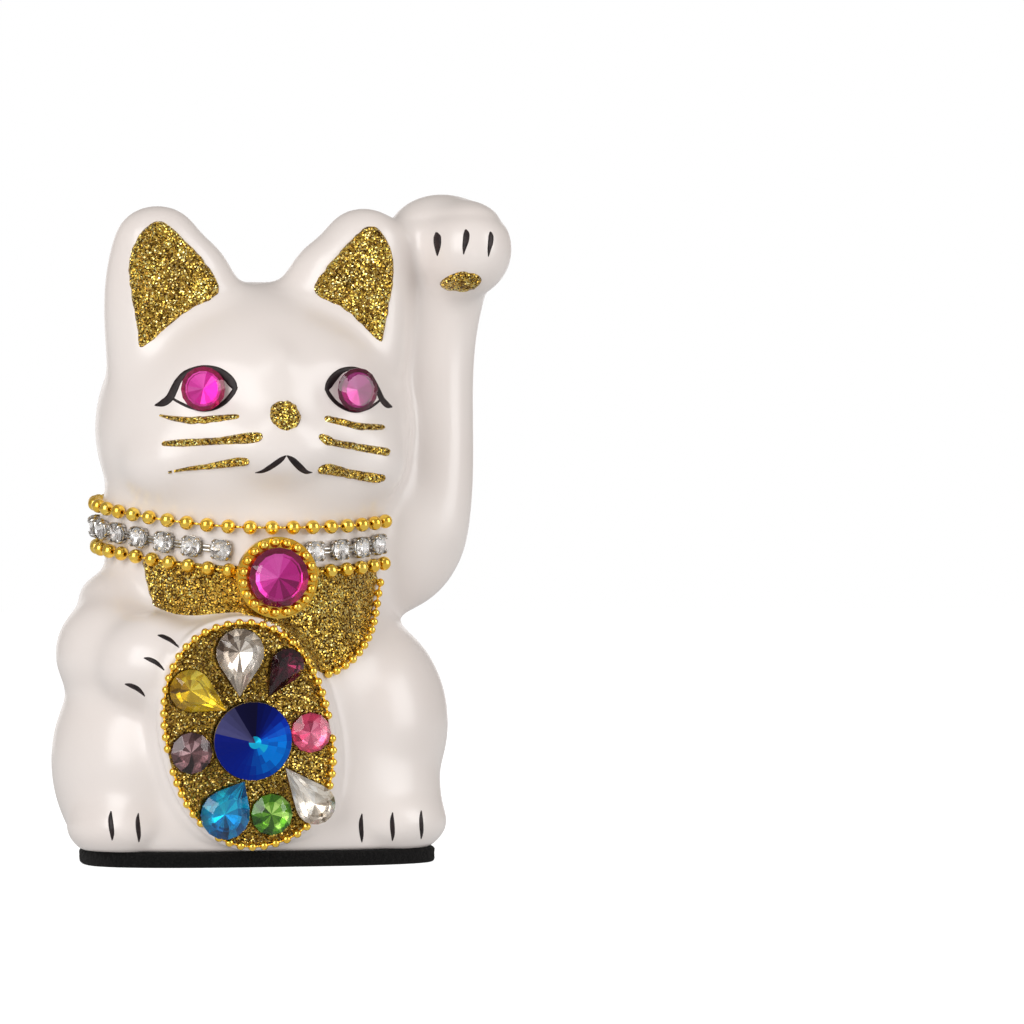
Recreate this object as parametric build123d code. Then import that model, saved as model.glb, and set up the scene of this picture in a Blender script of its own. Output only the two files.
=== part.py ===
from build123d import *
import math
import os

# A seated beckoning cat in glazed ceramic, trimmed with glitter, ball chain, cup chain and glass stones.
# Frame: millimetres, +Z up, origin at the middle of the felt pad's underside.
# The cat looks along -Y and lifts its left paw, which is on the +X side.

# ---------------------------------------------------------------- ceramic body
MID_X = 0.3              # the head's middle plane
SEAM_TURN = 125          # degrees: keeps the ellipsoids' seams off the core's seam
POLE = 88                # degrees of latitude at which the ellipsoids' poles are cut flat
WALL = 3.5               # slip-cast wall
POUR_HOLE_R = 7.0        # casting hole in the base, which the pad covers
PAD_THICK = 3.2

BACK_POWER = 2.2         # squareness of every level outline's back half: 2 is an ellipse

# level outlines: height, middle x, middle y, half width, front depth, back depth, squareness of the front
PAD_ROW = (0.0, 0.0, -6.0, 37.2, 19.5, 31.5, 2.8)
CORE_ROWS = [
    (PAD_THICK, 0.0, -6.0, 36.6, 18.8, 30.5, 2.8),
    (9.0, 0.0, -6.0, 38.2, 20.5, 34.5, 2.7),
    (20.0, 0.0, -4.0, 38.8, 22.0, 35.0, 2.5),
    (32.0, 0.0, -3.0, 36.5, 23.0, 36.0, 2.3),
    (44.0, 0.0, -1.0, 31.5, 24.5, 33.5, 2.1),
    (54.0, -0.2, 1.0, 29.3, 27.0, 30.0, 1.8),
    (62.0, 0.2, 1.5, 30.3, 28.5, 28.5, 1.65),
    (70.0, -0.2, 2.0, 31.4, 29.2, 27.8, 1.65),
    (78.0, 0.0, 1.0, 30.4, 28.0, 28.5, 1.8),
    (86.0, 0.3, 1.0, 26.0, 23.0, 25.0, 2.0),
]

HEAD = ((MID_X, 0.0, 91.0), (33.4, 32.0, 31.0))
CHEEK = ((17.5, -10.0, 85.0), (13.5, 16.5, 12.0))
MUZZLE = ((MID_X, -20.0, 87.0), (17.0, 15.3, 10.5))
BRIDGE = ((MID_X, -27.0, 99.0), (4.0, 4.6, 10.0))
NOSE = ((MID_X, -31.6, 93.0), (3.3, 4.0, 3.3))
EYE_DISH = ((15.6, -36.5, 98.6), (11.0, 10.8, 7.5))

EAR_ROWS = [             # height, x from the head's middle, half width, middle y, half depth
    (98.0, 18.5, 13.4, -4.0, 14.0),
    (110.0, 18.7, 13.7, -5.0, 12.5),
    (119.0, 18.4, 14.4, -6.3, 11.2),
    (125.0, 19.3, 13.0, -7.2, 10.0),
    (130.5, 21.0, 10.0, -8.2, 8.6),
]
EAR_TIP = ((22.0, -8.8, 129.6), (9.2, 8.0, 7.7))
EAR_FRONT_Y = -16.0      # flat front of the ears

ARM_ROWS = [             # raised arm: x, y, height, half width, half depth
    (34.0, 3.5, 66.0, 12.5, 12.0),
    (38.0, 2.6, 76.0, 9.9, 10.5),
    (39.3, 2.5, 90.0, 8.9, 9.6),
    (39.4, 2.5, 104.0, 8.9, 9.4),
    (39.8, 1.3, 114.0, 9.4, 9.6),
    (41.3, -1.5, 122.0, 9.8, 10.4),
]
ELBOW = ((27.7, 4.0, 72.0), (19.9, 13.5, 21.2))
PAW_BACK = ((40.6, -2.0, 131.3), (12.2, 12.0, 9.5))
PAW_FRONT = ((43.8, -8.5, 128.8), (10.0, 13.5, 10.6))

SHOULDER = ((-24.5, 2.0, 55.5), (12.3, 14.0, 6.5))
FOREARM = ((-30.3, -5.0, 43.8), (12.1, 15.5, 12.6))
LOW_PAW = ((-24.0, -18.0, 42.0), (12.5, 13.5, 11.0))
THIGH_LEFT = ((-24.3, -3.5, 21.5), (18.7, 21.5, 24.0))
THIGH_RIGHT = ((20.8, 0.0, 28.9), (20.9, 23.5, 24.3))
FOOT_LEFT = ((-28.9, -11.0, 8.7), (12.2, 14.2, 8.0))
FOOT_RIGHT = ((24.6, -11.0, 9.0), (14.7, 15.2, 8.5))
TAIL = ((8.0, 32.0, 14.0), (13.5, 6.0, 6.5))

# ---------------------------------------------------------------- oval plaque on the belly
PLAQUE_CENTRE = (-6.7, -31.0, 27.7)
PLAQUE_LEAN = 5.5        # degrees: the top leans forward
PLAQUE_TURN = 13.4       # degrees: the oval's top leans to -X
PLAQUE_HALF = (18.1, 24.4)
PLAQUE_DEEP = 16.0
BED_HALF = (16.0, 22.3)
BED_THICK = 0.8
OVAL_POWER = 2.25
SOCKET_DEEP = 0.5        # how far a stone sinks into the glitter bed

# ---------------------------------------------------------------- trimmings
GLITTER = 0.6            # thickness of painted glitter
SMALL_BEAD_R = 0.88
PLAQUE_BEAD_PITCH = 2.45
BIB_BEAD_PITCH = 2.4
BEAD_ASIDE = 0.1                 # clearance between a fine chain and the glitter beside it
COLLAR_BEAD_R = 1.5
COLLAR_BEAD_PITCH = 4.55
LINK_R = 0.26
LINK_GAP = 0.04
GLUE_GAP = 0.03          # clearance that stands for the glue line

COLLAR_AXIS = (0.2, 1.0)         # x, y of the axis that the collar runs round
COLLAR_START = 61.0              # degrees from the front, beside the raised arm
COLLAR_END = -236.0              # behind the raised arm
UPPER_CHAIN_Z = 70.1
CUP_CHAIN_Z = 65.6
LOWER_CHAIN_Z = 61.5
CHAIN_SAG = 0.5                  # extra dip at the front of the two lower rows

CUP_PITCH = 6.6
CUP_TRIM = 4.0                   # degrees by which the cup chain is shorter at each end
CUP_R = 2.3
CUP_HIGH = 2.4
CUP_WALL = (0.35, 1.0)                     # thickness of the floor, and height of the wall
CUP_STONE_R = 2.12
CUP_STONE_CUT = (8, 0.34, 0.5, 0.6)        # facets round, and crown, table and depth as shares of the radius
CLAW_R = 0.4
BAR = (1.5, 0.3)                 # height and thickness of the bars between the cups

PENDANT_AT = (-0.6, 59.9)        # x, z
PENDANT_BACK_Y = -30.0
PENDANT_R = 8.4
PENDANT_BOSS = (6.3, 8.0)        # radius, and length back from the plate
PENDANT_PLATE = 1.2
PENDANT_RIM = (0.2, 1.9)         # thickness of the upright rim, and its height from the plate's back
PENDANT_STONE_R = 6.2
PENDANT_STONE_CUT = (16, 0.26, 0.68, 0.30)
PENDANT_BEADS = 19
PENDANT_BEAD_R = 0.94
PENDANT_BEAD_RING_R = 7.2
PENDANT_CLEAR = 0.2              # distance at which the chains stop beside the boss

EYE_STONE_R = 4.6
EYE_STONE_CUT = (16, 0.28, 0.62, 0.25)
EYES = {"left": (16.6, 1), "right": (-15.0, -1)}      # x and side: the cat's own left is +X
EYE_Z = 98.6
EYE_TURN = 12            # degrees that each eye stone looks outward
EYE_STAND = 0.55         # distance from the glaze to the eye stone's back

# name: kind, x, z, length or diameter, width, degrees that the round end turns from straight up
STONES = {
    "rivoli_blue": ("rivoli", -6.2, 26.7, 16.2, 16.2, 0),
    "pear_clear_top": ("pear", -9.1, 42.8, 14.0, 10.0, 0),
    "pear_purple": ("pear", -0.2, 40.4, 11.1, 6.9, -31),
    "pear_yellow": ("pear", -17.4, 36.1, 12.8, 8.8, 61),
    "round_amethyst": ("round", -18.7, 24.2, 8.6, 8.6, 0),
    "round_pink": ("round", 6.1, 28.2, 8.3, 8.3, 0),
    "pear_clear_lower": ("pear", 5.3, 15.7, 14.2, 8.3, -140),
    "round_green": ("round", -1.8, 11.4, 8.6, 8.6, 0),
    "pear_teal": ("pear", -10.9, 12.7, 13.0, 10.2, 151),
}

# ---------------------------------------------------------------- painted glitter outlines, as x, z
EAR_PATCHES = {           # x runs outward from the head's middle plane
    "left": [
        (24.6, 109.6), (26.5, 119.0), (25.4, 130.3), (22.3, 133.2), (17.9, 130.3), (10.3, 118.8),
        (17.1, 115.1)
    ],
    "right": [
        (27.0, 108.4), (28.5, 119.0), (27.2, 130.3), (23.3, 133.6), (18.2, 130.5), (10.4, 118.7),
        (17.4, 114.8)
    ],
}
BIB_TOP_MIDDLE = (0.0, 59.3)
BIB_EDGE_RIGHT = [(23.8, 60.6), (22.9, 57.1), (21.0, 50.0), (17.0, 44.3), (10.6, 40.6)]
BIB_EDGE_LOW = [
    (7.2, 41.9), (3.9, 45.4), (-1.4, 51.2), (-7.2, 53.4), (-16.0, 52.8), (-22.9, 54.4), (-24.4, 61.4)
]
BIB_CHAIN_START = 0.07    # share of the bib's right edge that the fine chain leaves free at the top
WHISKERS = {              # x0, z0, x1, z1, from the muzzle outward
    "left": [(10.0, 92.4, 23.0, 90.9), (8.3, 88.0, 23.9, 85.8), (8.6, 81.9, 23.2, 80.3)],
    "right": [(-8.9, 92.7, -23.5, 92.7), (-5.2, 88.6, -22.9, 87.3), (-7.5, 83.5, -22.2, 82.0)],
}
WHISKER_HALF = 0.75
NOSE_PATCH = ((0.7, 93.3), (3.3, 3.1))             # middle, and half width and height
PAD_PATCH = ((41.6, -13.0, 121.6), (3.8, 2.0))     # middle, and half width and height

BEYOND = 200             # a length that passes right through the figure


def ball(feature, by=0.0, side=1):
    """Ellipsoid from (middle, semi-axes), grown by `by`. side -1 mirrors it to the -X side of the head.
    Its poles are cut a hair flat, so that no face ends in a point."""
    (x, y, z), semi = feature
    sphere = Rot(0, 0, SEAM_TURN) * Sphere(1, arc_size1=-POLE, arc_size2=POLE)
    shape = scale(sphere, by=tuple(s + by for s in semi))
    if side < 0:
        x = 2 * MID_X - x
    return Pos(x, y, z) * shape


def oval(half_x, half_y, power=2.0, count=32):
    """Closed superellipse wire in the XY plane."""
    points = []
    for i in range(count):
        angle = 2 * math.pi * i / count
        c, s = math.cos(angle), math.sin(angle)
        x = half_x * math.copysign(abs(c) ** (2 / power), c)
        y = half_y * math.copysign(abs(s) ** (2 / power), s)
        points.append(Vector(x, y, 0))
    return Wire([Edge.make_spline(points, periodic=True)])


def section(row, by=0.0):
    """Level outline: the front half has its own depth and squareness, and the back half is rounder."""
    z, mid_x, mid_y, half_x, front, back, power = row
    count = 28
    points = []
    for i in range(count):
        angle = 2 * math.pi * i / count
        c, s = math.cos(angle), math.sin(angle)
        own = power if s < 0 else BACK_POWER
        depth = (back if s > 0 else front) + by
        x = (half_x + by) * math.copysign(abs(c) ** (2 / own), c)
        y = depth * math.copysign(abs(s) ** (2 / own), s)
        points.append(Vector(mid_x + x, mid_y + y, z))
    return Wire([Edge.make_spline(points, periodic=True)])


def core(by=0.0):
    return Solid.make_loft([section(row, by) for row in CORE_ROWS])


def ear(side, by=0.0):
    wires = []
    for z, x, half_x, y, half_y in EAR_ROWS:
        place = Pos(MID_X + side * x, y, z)
        wires.append((place * Ellipse(half_x + by, half_y + by)).wire())
    (x, y, z), semi = EAR_TIP
    tip = ball(((MID_X + side * x, y, z), semi), by)
    front = Pos(MID_X + side * 20, EAR_FRONT_Y - by - 10, 122) * Box(30, 20, 40)
    return (Solid.make_loft(wires) + tip) - front


def raised_arm(by=0.0):
    wires = []
    for x, y, z, half_x, half_y in ARM_ROWS:
        wires.append((Pos(x, y, z) * Ellipse(half_x + by, half_y + by)).wire())
    return Solid.make_loft(wires)


def plaque_plane():
    lean = math.radians(PLAQUE_LEAN)
    return Plane(PLAQUE_CENTRE, x_dir=(1, 0, 0), z_dir=(0, -math.cos(lean), -math.sin(lean)))


def on_plaque(x, y, height, turn=0.0):
    """Place on the plaque's front plane: x across, y up the oval, height out of it, turn in degrees."""
    return plaque_plane().location * Pos(x, y, height) * Rot(0, 0, turn)


def plaque(by=0.0):
    face = Face(oval(PLAQUE_HALF[0] + by, PLAQUE_HALF[1] + by, OVAL_POWER))
    block = Solid.extrude(face, Vector(0, 0, PLAQUE_DEEP))
    return on_plaque(0, 0, by - PLAQUE_DEEP, PLAQUE_TURN) * block


def fuse(parts):
    whole = parts[0]
    for part in parts[1:]:
        whole = whole + part
    return whole


def form(by=0.0):
    """The cat's solid form, grown by `by`, before it is cut off level at the base."""
    parts = [core(by), ball(HEAD, by)]
    for side in (-1, 1):
        parts += [ball(CHEEK, by, side), ear(side, by)]
    for feature in (MUZZLE, BRIDGE, NOSE, ELBOW, PAW_BACK, PAW_FRONT, SHOULDER, FOREARM, LOW_PAW):
        parts.append(ball(feature, by))
    for feature in (THIGH_LEFT, THIGH_RIGHT, FOOT_LEFT, FOOT_RIGHT, TAIL):
        parts.append(ball(feature, by))
    parts += [raised_arm(by), plaque(by)]
    whole = fuse(parts)
    for side in (-1, 1):
        whole = whole - ball(EYE_DISH, -by, side)
    return whole


def slab(z_low, z_high):
    return Pos(0, 0, (z_low + z_high) / 2) * Box(BEYOND, BEYOND, z_high - z_low)


def make_shell(outer):
    """The hollow casting: a closed wall with the pour hole in its base."""
    cavity = form(-WALL) - slab(-BEYOND, PAD_THICK + WALL)
    hole = Pos(0, 0, PAD_THICK + WALL / 2) * Cylinder(POUR_HOLE_R, WALL + 2)
    return outer - cavity - hole


def make_pad():
    return Solid.extrude(Face(section(PAD_ROW)), Vector(0, 0, PAD_THICK))


# ---------------------------------------------------------------- finding the glazed surface
def surface(body, start, direction):
    """Outermost point of the body along a ray, and the outward normal there."""
    hits = body.find_intersection_points(Axis(start, direction))
    point, normal = hits[-1]
    out = Vector(*direction)
    if normal.dot(out) < 0:
        normal = normal * -1
    return point, normal.normalized()


def front(body, x, z):
    return surface(body, (x, 0, z), (0, -1, 0))


def skin(body, outline, shift, start=0.0):
    """Thin layer on the body in front of an outline at y = start: the body moved by `shift`, less the body."""
    prism = Solid.extrude(Pos(0, start, 0) * Face(outline), Vector(0, -BEYOND, 0))
    moved = Pos(*shift) * body
    return (prism & moved) - body


def upright(points, y=0.0):
    return [Vector(x, y, z) for x, z in points]


# ---------------------------------------------------------------- bead chains
def walk(path, pitch, closed=False):
    """Points spaced evenly, about `pitch` apart, along a polyline."""
    if closed:
        path = path + [path[0]]
    lengths = [0.0]
    for a, b in zip(path, path[1:]):
        lengths.append(lengths[-1] + (b - a).length)
    count = max(1, round(lengths[-1] / pitch))
    stops = count if closed else count + 1
    out = []
    leg = 0
    for i in range(stops):
        want = lengths[-1] * i / count
        while leg < len(path) - 2 and lengths[leg + 1] < want:
            leg += 1
        share = (want - lengths[leg]) / (lengths[leg + 1] - lengths[leg])
        out.append(path[leg] + (path[leg + 1] - path[leg]) * share)
    return out


def beads(points, radius):
    return [Pos(p.X, p.Y, p.Z) * Sphere(radius) for p in points]


def links(points, radius, pitch, closed=False):
    """Wire links between neighbouring beads, with none across a gap in the chain."""
    out = []
    pairs = list(zip(points, points[1:]))
    if closed:
        pairs.append((points[-1], points[0]))
    for a, b in pairs:
        way = b - a
        inset = radius + LINK_GAP
        if way.length < 2 * inset + 0.1 or way.length > 1.5 * pitch:
            continue
        unit = way.normalized()
        place = Plane(a + unit * inset, z_dir=unit).location
        out.append(place * Pos(0, 0, (way.length - 2 * inset) / 2) * Cylinder(LINK_R, way.length - 2 * inset))
    return out


def collar_height(front_z, angle):
    """The collar dips at the front, rises a little to the raised arm and more to the other side and back."""
    if front_z < UPPER_CHAIN_Z:
        front_z -= CHAIN_SAG * max(0.0, math.cos(math.radians(angle))) ** 2
    if angle > 0:
        return front_z + 1.3 * (angle / COLLAR_START) ** 2
    return front_z + 5.4 * math.sin(math.radians(min(-angle, 125.0) * 0.72)) ** 2


def collar_path(body, front_z, stand_off, trim=0.0):
    """Points round the neck, each `stand_off` clear of the glaze, with their normals."""
    points, normals = [], []
    steps = 99
    first, last = COLLAR_START - trim, COLLAR_END + trim
    for i in range(steps + 1):
        angle = first + (last - first) * i / steps
        z = collar_height(front_z, angle)
        way = (math.sin(math.radians(angle)), -math.cos(math.radians(angle)), 0)
        point, normal = surface(body, (*COLLAR_AXIS, z), way)
        points.append(point + normal * stand_off)
        normals.append(normal)
    return points, normals


def near_pendant(point, radius):
    """Whether something of this radius at a point of the chest would meet the pendant's boss."""
    x, z = PENDANT_AT
    return point.Y < 0 and math.hypot(point.X - x, point.Z - z) < PENDANT_BOSS[0] + PENDANT_CLEAR + radius


# ---------------------------------------------------------------- cut glass
def ring(count, half_x, half_y, z, turn=0.0):
    """Points of a polygon in an ellipse, turned by a share of one side."""
    points = []
    for i in range(count):
        angle = 2 * math.pi * (i + turn) / count
        points.append(Vector(half_x * math.cos(angle), half_y * math.sin(angle), z))
    return points


def facet(*points):
    return Face(Wire.make_polygon(list(points), close=True))


def band(low, high):
    """Triangular facets between two rings with the same count, the upper one turned half a side."""
    faces = []
    count = len(low)
    for i in range(count):
        after = (i + 1) % count
        faces.append(facet(low[i], low[after], high[i]))
        faces.append(facet(low[after], high[after], high[i]))
    return faces


def wall(low, high):
    """Upright quadrilateral facets between two rings that match point for point."""
    count = len(low)
    return [facet(low[i], low[(i + 1) % count], high[(i + 1) % count], high[i]) for i in range(count)]


def closed_solid(faces):
    return Solid(Shell(faces))


def round_stone(radius, count=12, crown=0.28, table=0.55, deep=0.36):
    """Round cut stone; z = 0 is the girdle. crown, table and deep are shares of the radius."""
    girdle_low = ring(count, radius, radius, -0.05 * radius)
    girdle_high = ring(count, radius, radius, 0.05 * radius)
    top = ring(count, radius * table, radius * table, radius * crown, 0.5)
    back = ring(count, radius * 0.5, radius * 0.5, -radius * deep, 0.5)
    faces = band(girdle_high, top) + wall(girdle_low, girdle_high) + band(girdle_low, back)
    faces += [facet(*top), facet(*back)]
    return closed_solid(faces)


def rivoli_stone(radius, count=18, crown=0.36, deep=0.30):
    """Round stone whose front rises to one point."""
    girdle_low = ring(count, radius, radius, -0.04 * radius)
    girdle_high = ring(count, radius, radius, 0.04 * radius)
    back = ring(count, radius * 0.3, radius * 0.3, -radius * deep)
    apex = Vector(0, 0, radius * crown)
    faces = [facet(girdle_high[i], girdle_high[(i + 1) % count], apex) for i in range(count)]
    faces += wall(girdle_low, girdle_high) + wall(back, girdle_low) + [facet(*back)]
    return closed_solid(faces)


def drop(length, width, z, share=1.0):
    """Pear outline round the middle of its length, round end up: a circle with two tangents to a tip."""
    radius = width / 2
    centre = length / 2 - radius
    tip = -length / 2
    open_angle = math.acos(radius / (centre - tip))
    points = [Vector(0, tip * share, z)]
    steps = 12
    for i in range(steps + 1):
        angle = -math.pi / 2 + open_angle + (2 * math.pi - 2 * open_angle) * i / steps
        x = radius * math.cos(angle) * share
        y = (centre + radius * math.sin(angle)) * share
        points.append(Vector(x, y, z))
    return points


def pear_stone(length, width):
    """Pear cut stone; z = 0 is the girdle."""
    thick = 0.03 * length
    girdle_low = drop(length, width, -thick)
    girdle_high = drop(length, width, thick)
    table = drop(length, width, 0.15 * length, 0.58)
    back = drop(length, width, -0.16 * length, 0.42)
    faces = wall(girdle_high, table) + wall(girdle_low, girdle_high) + wall(back, girdle_low)
    faces += [facet(*table), facet(*back)]
    return closed_solid(faces)


def stone(kind, length, width):
    if kind == "rivoli":
        return rivoli_stone(length / 2)
    if kind == "pear":
        return pear_stone(length, width)
    return round_stone(length / 2)


def stone_depth(kind, length):
    """How far the back of a stone lies below its girdle."""
    share = {"rivoli": 0.30 / 2, "pear": 0.16, "round": 0.36 / 2}
    return share[kind] * length


def stone_outline(kind, length, width, extra):
    if kind == "pear":
        return Face(Wire.make_polygon(drop(length + 2 * extra, width + 2 * extra, 0), close=True))
    return Circle(length / 2 + extra).face()


def stone_place(x, z, height, turn):
    lean = math.cos(math.radians(PLAQUE_LEAN))
    across = x - PLAQUE_CENTRE[0]
    up = (z - PLAQUE_CENTRE[2]) / lean
    return on_plaque(across, up, height, turn)


# ---------------------------------------------------------------- plaque on the belly
def make_bed():
    """Glitter bed of the plaque, with a shallow socket under each stone."""
    slab_face = Face(oval(*BED_HALF, OVAL_POWER))
    bed = on_plaque(0, 0, GLUE_GAP, PLAQUE_TURN) * Solid.extrude(slab_face, Vector(0, 0, BED_THICK))
    for kind, x, z, length, width, turn in STONES.values():
        floor = BED_THICK - SOCKET_DEEP
        cutter = Solid.extrude(stone_outline(kind, length, width, 0.05), Vector(0, 0, 3))
        bed = bed - stone_place(x, z, floor + GLUE_GAP, turn) * cutter
    return bed


def make_stones():
    out = {}
    floor = BED_THICK - SOCKET_DEEP + 2 * GLUE_GAP
    for name, (kind, x, z, length, width, turn) in STONES.items():
        height = floor + stone_depth(kind, length)
        out[name] = stone_place(x, z, height, turn) * stone(kind, length, width)
    return out


def clear_of(gems, point, radius):
    """Whether a bead of this radius misses every stone."""
    return all(gem.distance_to(point) > radius + GLUE_GAP for gem in gems)


def plaque_bead_points():
    rim = SMALL_BEAD_R + BEAD_ASIDE
    outline = oval(BED_HALF[0] + rim, BED_HALF[1] + rim, OVAL_POWER)
    count = 240
    path = [outline.position_at(i / count) for i in range(count)]
    points = []
    for p in walk(path, PLAQUE_BEAD_PITCH, closed=True):
        place = on_plaque(0, 0, SMALL_BEAD_R + GLUE_GAP, PLAQUE_TURN) * Pos(p.X, p.Y, 0)
        points.append(Vector(*place.position))
    return points


# ---------------------------------------------------------------- painted glitter
def ear_patch(body, side, points):
    points = [(MID_X + side * x, z) for x, z in points]
    outline = Wire([Edge.make_spline(upright(points), periodic=True)])
    return skin(body, outline, (0, -GLITTER, 0))


def bib_outline():
    right = Edge.make_spline(upright(BIB_EDGE_RIGHT))
    corner = [BIB_EDGE_RIGHT[-1], BIB_EDGE_LOW[0]]
    low = Edge.make_spline(upright(BIB_EDGE_LOW[:-1]))
    left = Edge.make_line(*upright(BIB_EDGE_LOW[-2:]))
    top = Edge.make_three_point_arc(*upright([BIB_EDGE_LOW[-1], BIB_TOP_MIDDLE, BIB_EDGE_RIGHT[0]]))
    return Wire([right, Edge.make_line(*upright(corner)), low, left, top])


def whisker_patch(body, row):
    x0, z0, x1, z1 = row
    along = math.hypot(x1 - x0, z1 - z0)
    tilt = math.degrees(math.atan2(z1 - z0, x1 - x0))
    face = (Pos((x0 + x1) / 2, (z0 + z1) / 2) * Rot(0, 0, tilt) * SlotOverall(along, 2 * WHISKER_HALF)).face()
    outline = (Plane.XZ.location * face).face().outer_wire()
    return skin(body, outline, (0, -1.2 * GLITTER, 0))


def nose_patch(body):
    (x, z), half = NOSE_PATCH
    outline = (Pos(x, 0, z) * Rot(90, 0, 0) * Ellipse(*half)).wire()
    return skin(body, outline, (0, -1.2 * GLITTER, 0))


def paw_patch(body):
    """Glitter pad low on the raised paw, where the surface turns under."""
    (x, y, z), (half_x, half_z) = PAD_PATCH
    outline = (Pos(x, 0, z) * Rot(90, 0, 0) * Ellipse(half_x, half_z)).wire()
    return skin(body, outline, (0, -GLITTER, -0.7 * GLITTER), y)


# ---------------------------------------------------------------- collar
def make_cup_chain(body):
    """Square-set clear stones in claw cups, joined by short bars, round the collar."""
    path, normals = collar_path(body, CUP_CHAIN_Z, 0.1, CUP_TRIM)
    spots = walk(path, CUP_PITCH)
    cups, stones, bars = [], [], []
    places = []
    for spot in spots:
        nearest = min(range(len(path)), key=lambda i: (path[i] - spot).length)
        tangent = (path[min(nearest + 1, len(path) - 1)] - path[max(nearest - 1, 0)]).normalized()
        places.append(Plane(spot, x_dir=tangent, z_dir=normals[nearest]))
    for place in places:
        if near_pendant(place.origin, CUP_R):
            continue
        cup, gem = cup_and_stone()
        cups.append(place.location * cup)
        stones.append(place.location * gem)
    for a, b in zip(places, places[1:]):
        middle = (a.origin + b.origin) * 0.5
        if near_pendant(middle, CUP_PITCH / 2):
            continue
        way = b.origin - a.origin
        long = way.length - 2 * CUP_R - 0.1
        out = (a.z_dir + b.z_dir).normalized()
        place = Plane(middle + out * BAR[0] / 2, x_dir=way.normalized(), z_dir=out).location
        bars.append(place * Box(long, *BAR))
    return cups, stones, bars


def cup_and_stone():
    """A claw cup standing on z = 0, and its stone."""
    floor, wall_high = CUP_WALL
    cup = Pos(0, 0, wall_high / 2) * Cylinder(CUP_R, wall_high)
    for i in range(4):
        angle = math.radians(45 + 90 * i)
        x, y = (CUP_R - 0.1) * math.cos(angle), (CUP_R - 0.1) * math.sin(angle)
        cup = cup + Pos(x, y, CUP_HIGH / 2) * Cylinder(CLAW_R, CUP_HIGH)
    cup = cup - Pos(0, 0, floor + CUP_HIGH / 2) * Cylinder(CUP_STONE_R, CUP_HIGH)
    deep = CUP_STONE_CUT[-1] * CUP_STONE_R
    gem = Pos(0, 0, floor + GLUE_GAP + deep) * round_stone(CUP_STONE_R - GLUE_GAP, *CUP_STONE_CUT)
    return cup, gem


def make_collar_chain(body, front_z):
    path, _ = collar_path(body, front_z, COLLAR_BEAD_R + GLUE_GAP)
    points = walk(path, COLLAR_BEAD_PITCH)
    wires = links(points, COLLAR_BEAD_R, COLLAR_BEAD_PITCH)
    points = [p for p in points if not near_pendant(p, COLLAR_BEAD_R)]
    wires = [w for w in wires if not near_pendant(w.center(), COLLAR_BEAD_R)]
    return beads(points, COLLAR_BEAD_R), wires


def make_pendant(body):
    """Setting with a boss glued to the chest, the bead ring that hems the stone in, and the stone."""
    x, z = PENDANT_AT
    place = Plane((x, PENDANT_BACK_Y, z), x_dir=(1, 0, 0), z_dir=(0, -1, 0)).location
    thick, high = PENDANT_RIM
    plate = Pos(0, 0, PENDANT_PLATE / 2) * Cylinder(PENDANT_R, PENDANT_PLATE)
    rim = Pos(0, 0, high / 2) * (Cylinder(PENDANT_R, high) - Cylinder(PENDANT_R - thick, high))
    boss_r, boss_long = PENDANT_BOSS
    boss = Pos(0, 0, -boss_long / 2) * Cylinder(boss_r, boss_long)
    setting = place * (plate + rim + boss) - Pos(0, -GLUE_GAP, 0) * body
    floor = PENDANT_PLATE + GLUE_GAP
    spots = ring(PENDANT_BEADS, PENDANT_BEAD_RING_R, PENDANT_BEAD_RING_R, floor + PENDANT_BEAD_R)
    ring_beads = [place * Pos(spot) * Sphere(PENDANT_BEAD_R) for spot in spots]
    deep = PENDANT_STONE_CUT[-1] * PENDANT_STONE_R
    gem = place * Pos(0, 0, floor + deep) * round_stone(PENDANT_STONE_R, *PENDANT_STONE_CUT)
    return setting, ring_beads, gem


def make_bib_chain(body):
    """Fine ball chain down the bib's edge, beside the glitter."""
    edge = Edge.make_spline(upright(BIB_EDGE_RIGHT))
    rim = SMALL_BEAD_R + BEAD_ASIDE
    path = []
    steps = 40
    for i in range(steps + 1):
        share = BIB_CHAIN_START + (1 - BIB_CHAIN_START) * i / steps
        p, way = edge.position_at(share), edge.tangent_at(share)
        spot = p + Vector(-way.Z, 0, way.X).normalized() * rim
        point, normal = front(body, spot.X, spot.Z)
        path.append(point + normal * (SMALL_BEAD_R + GLUE_GAP))
    points = walk(path, BIB_BEAD_PITCH)
    return beads(points, SMALL_BEAD_R), links(points, SMALL_BEAD_R, BIB_BEAD_PITCH)


def make_eye(body, x, side):
    """Flat-backed round stone seated in the eye's dish, and turned outward."""
    point, _ = front(body, x, EYE_Z)
    turn = math.radians(EYE_TURN)
    out = Vector(side * math.sin(turn), -math.cos(turn), 0)
    seat = Plane(point + out * EYE_STAND, x_dir=Vector(-out.Y, out.X, 0), z_dir=out).location
    deep = EYE_STONE_CUT[-1] * EYE_STONE_R
    return seat * Pos(0, 0, deep) * round_stone(EYE_STONE_R, *EYE_STONE_CUT) - body


def save(name, shapes):
    """Write one node. A list is a group of separate solids."""
    shape = Compound(children=list(shapes)) if isinstance(shapes, (list, tuple)) else shapes
    export_step(shape, f"parts/{name}.step")
    return shape


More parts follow.
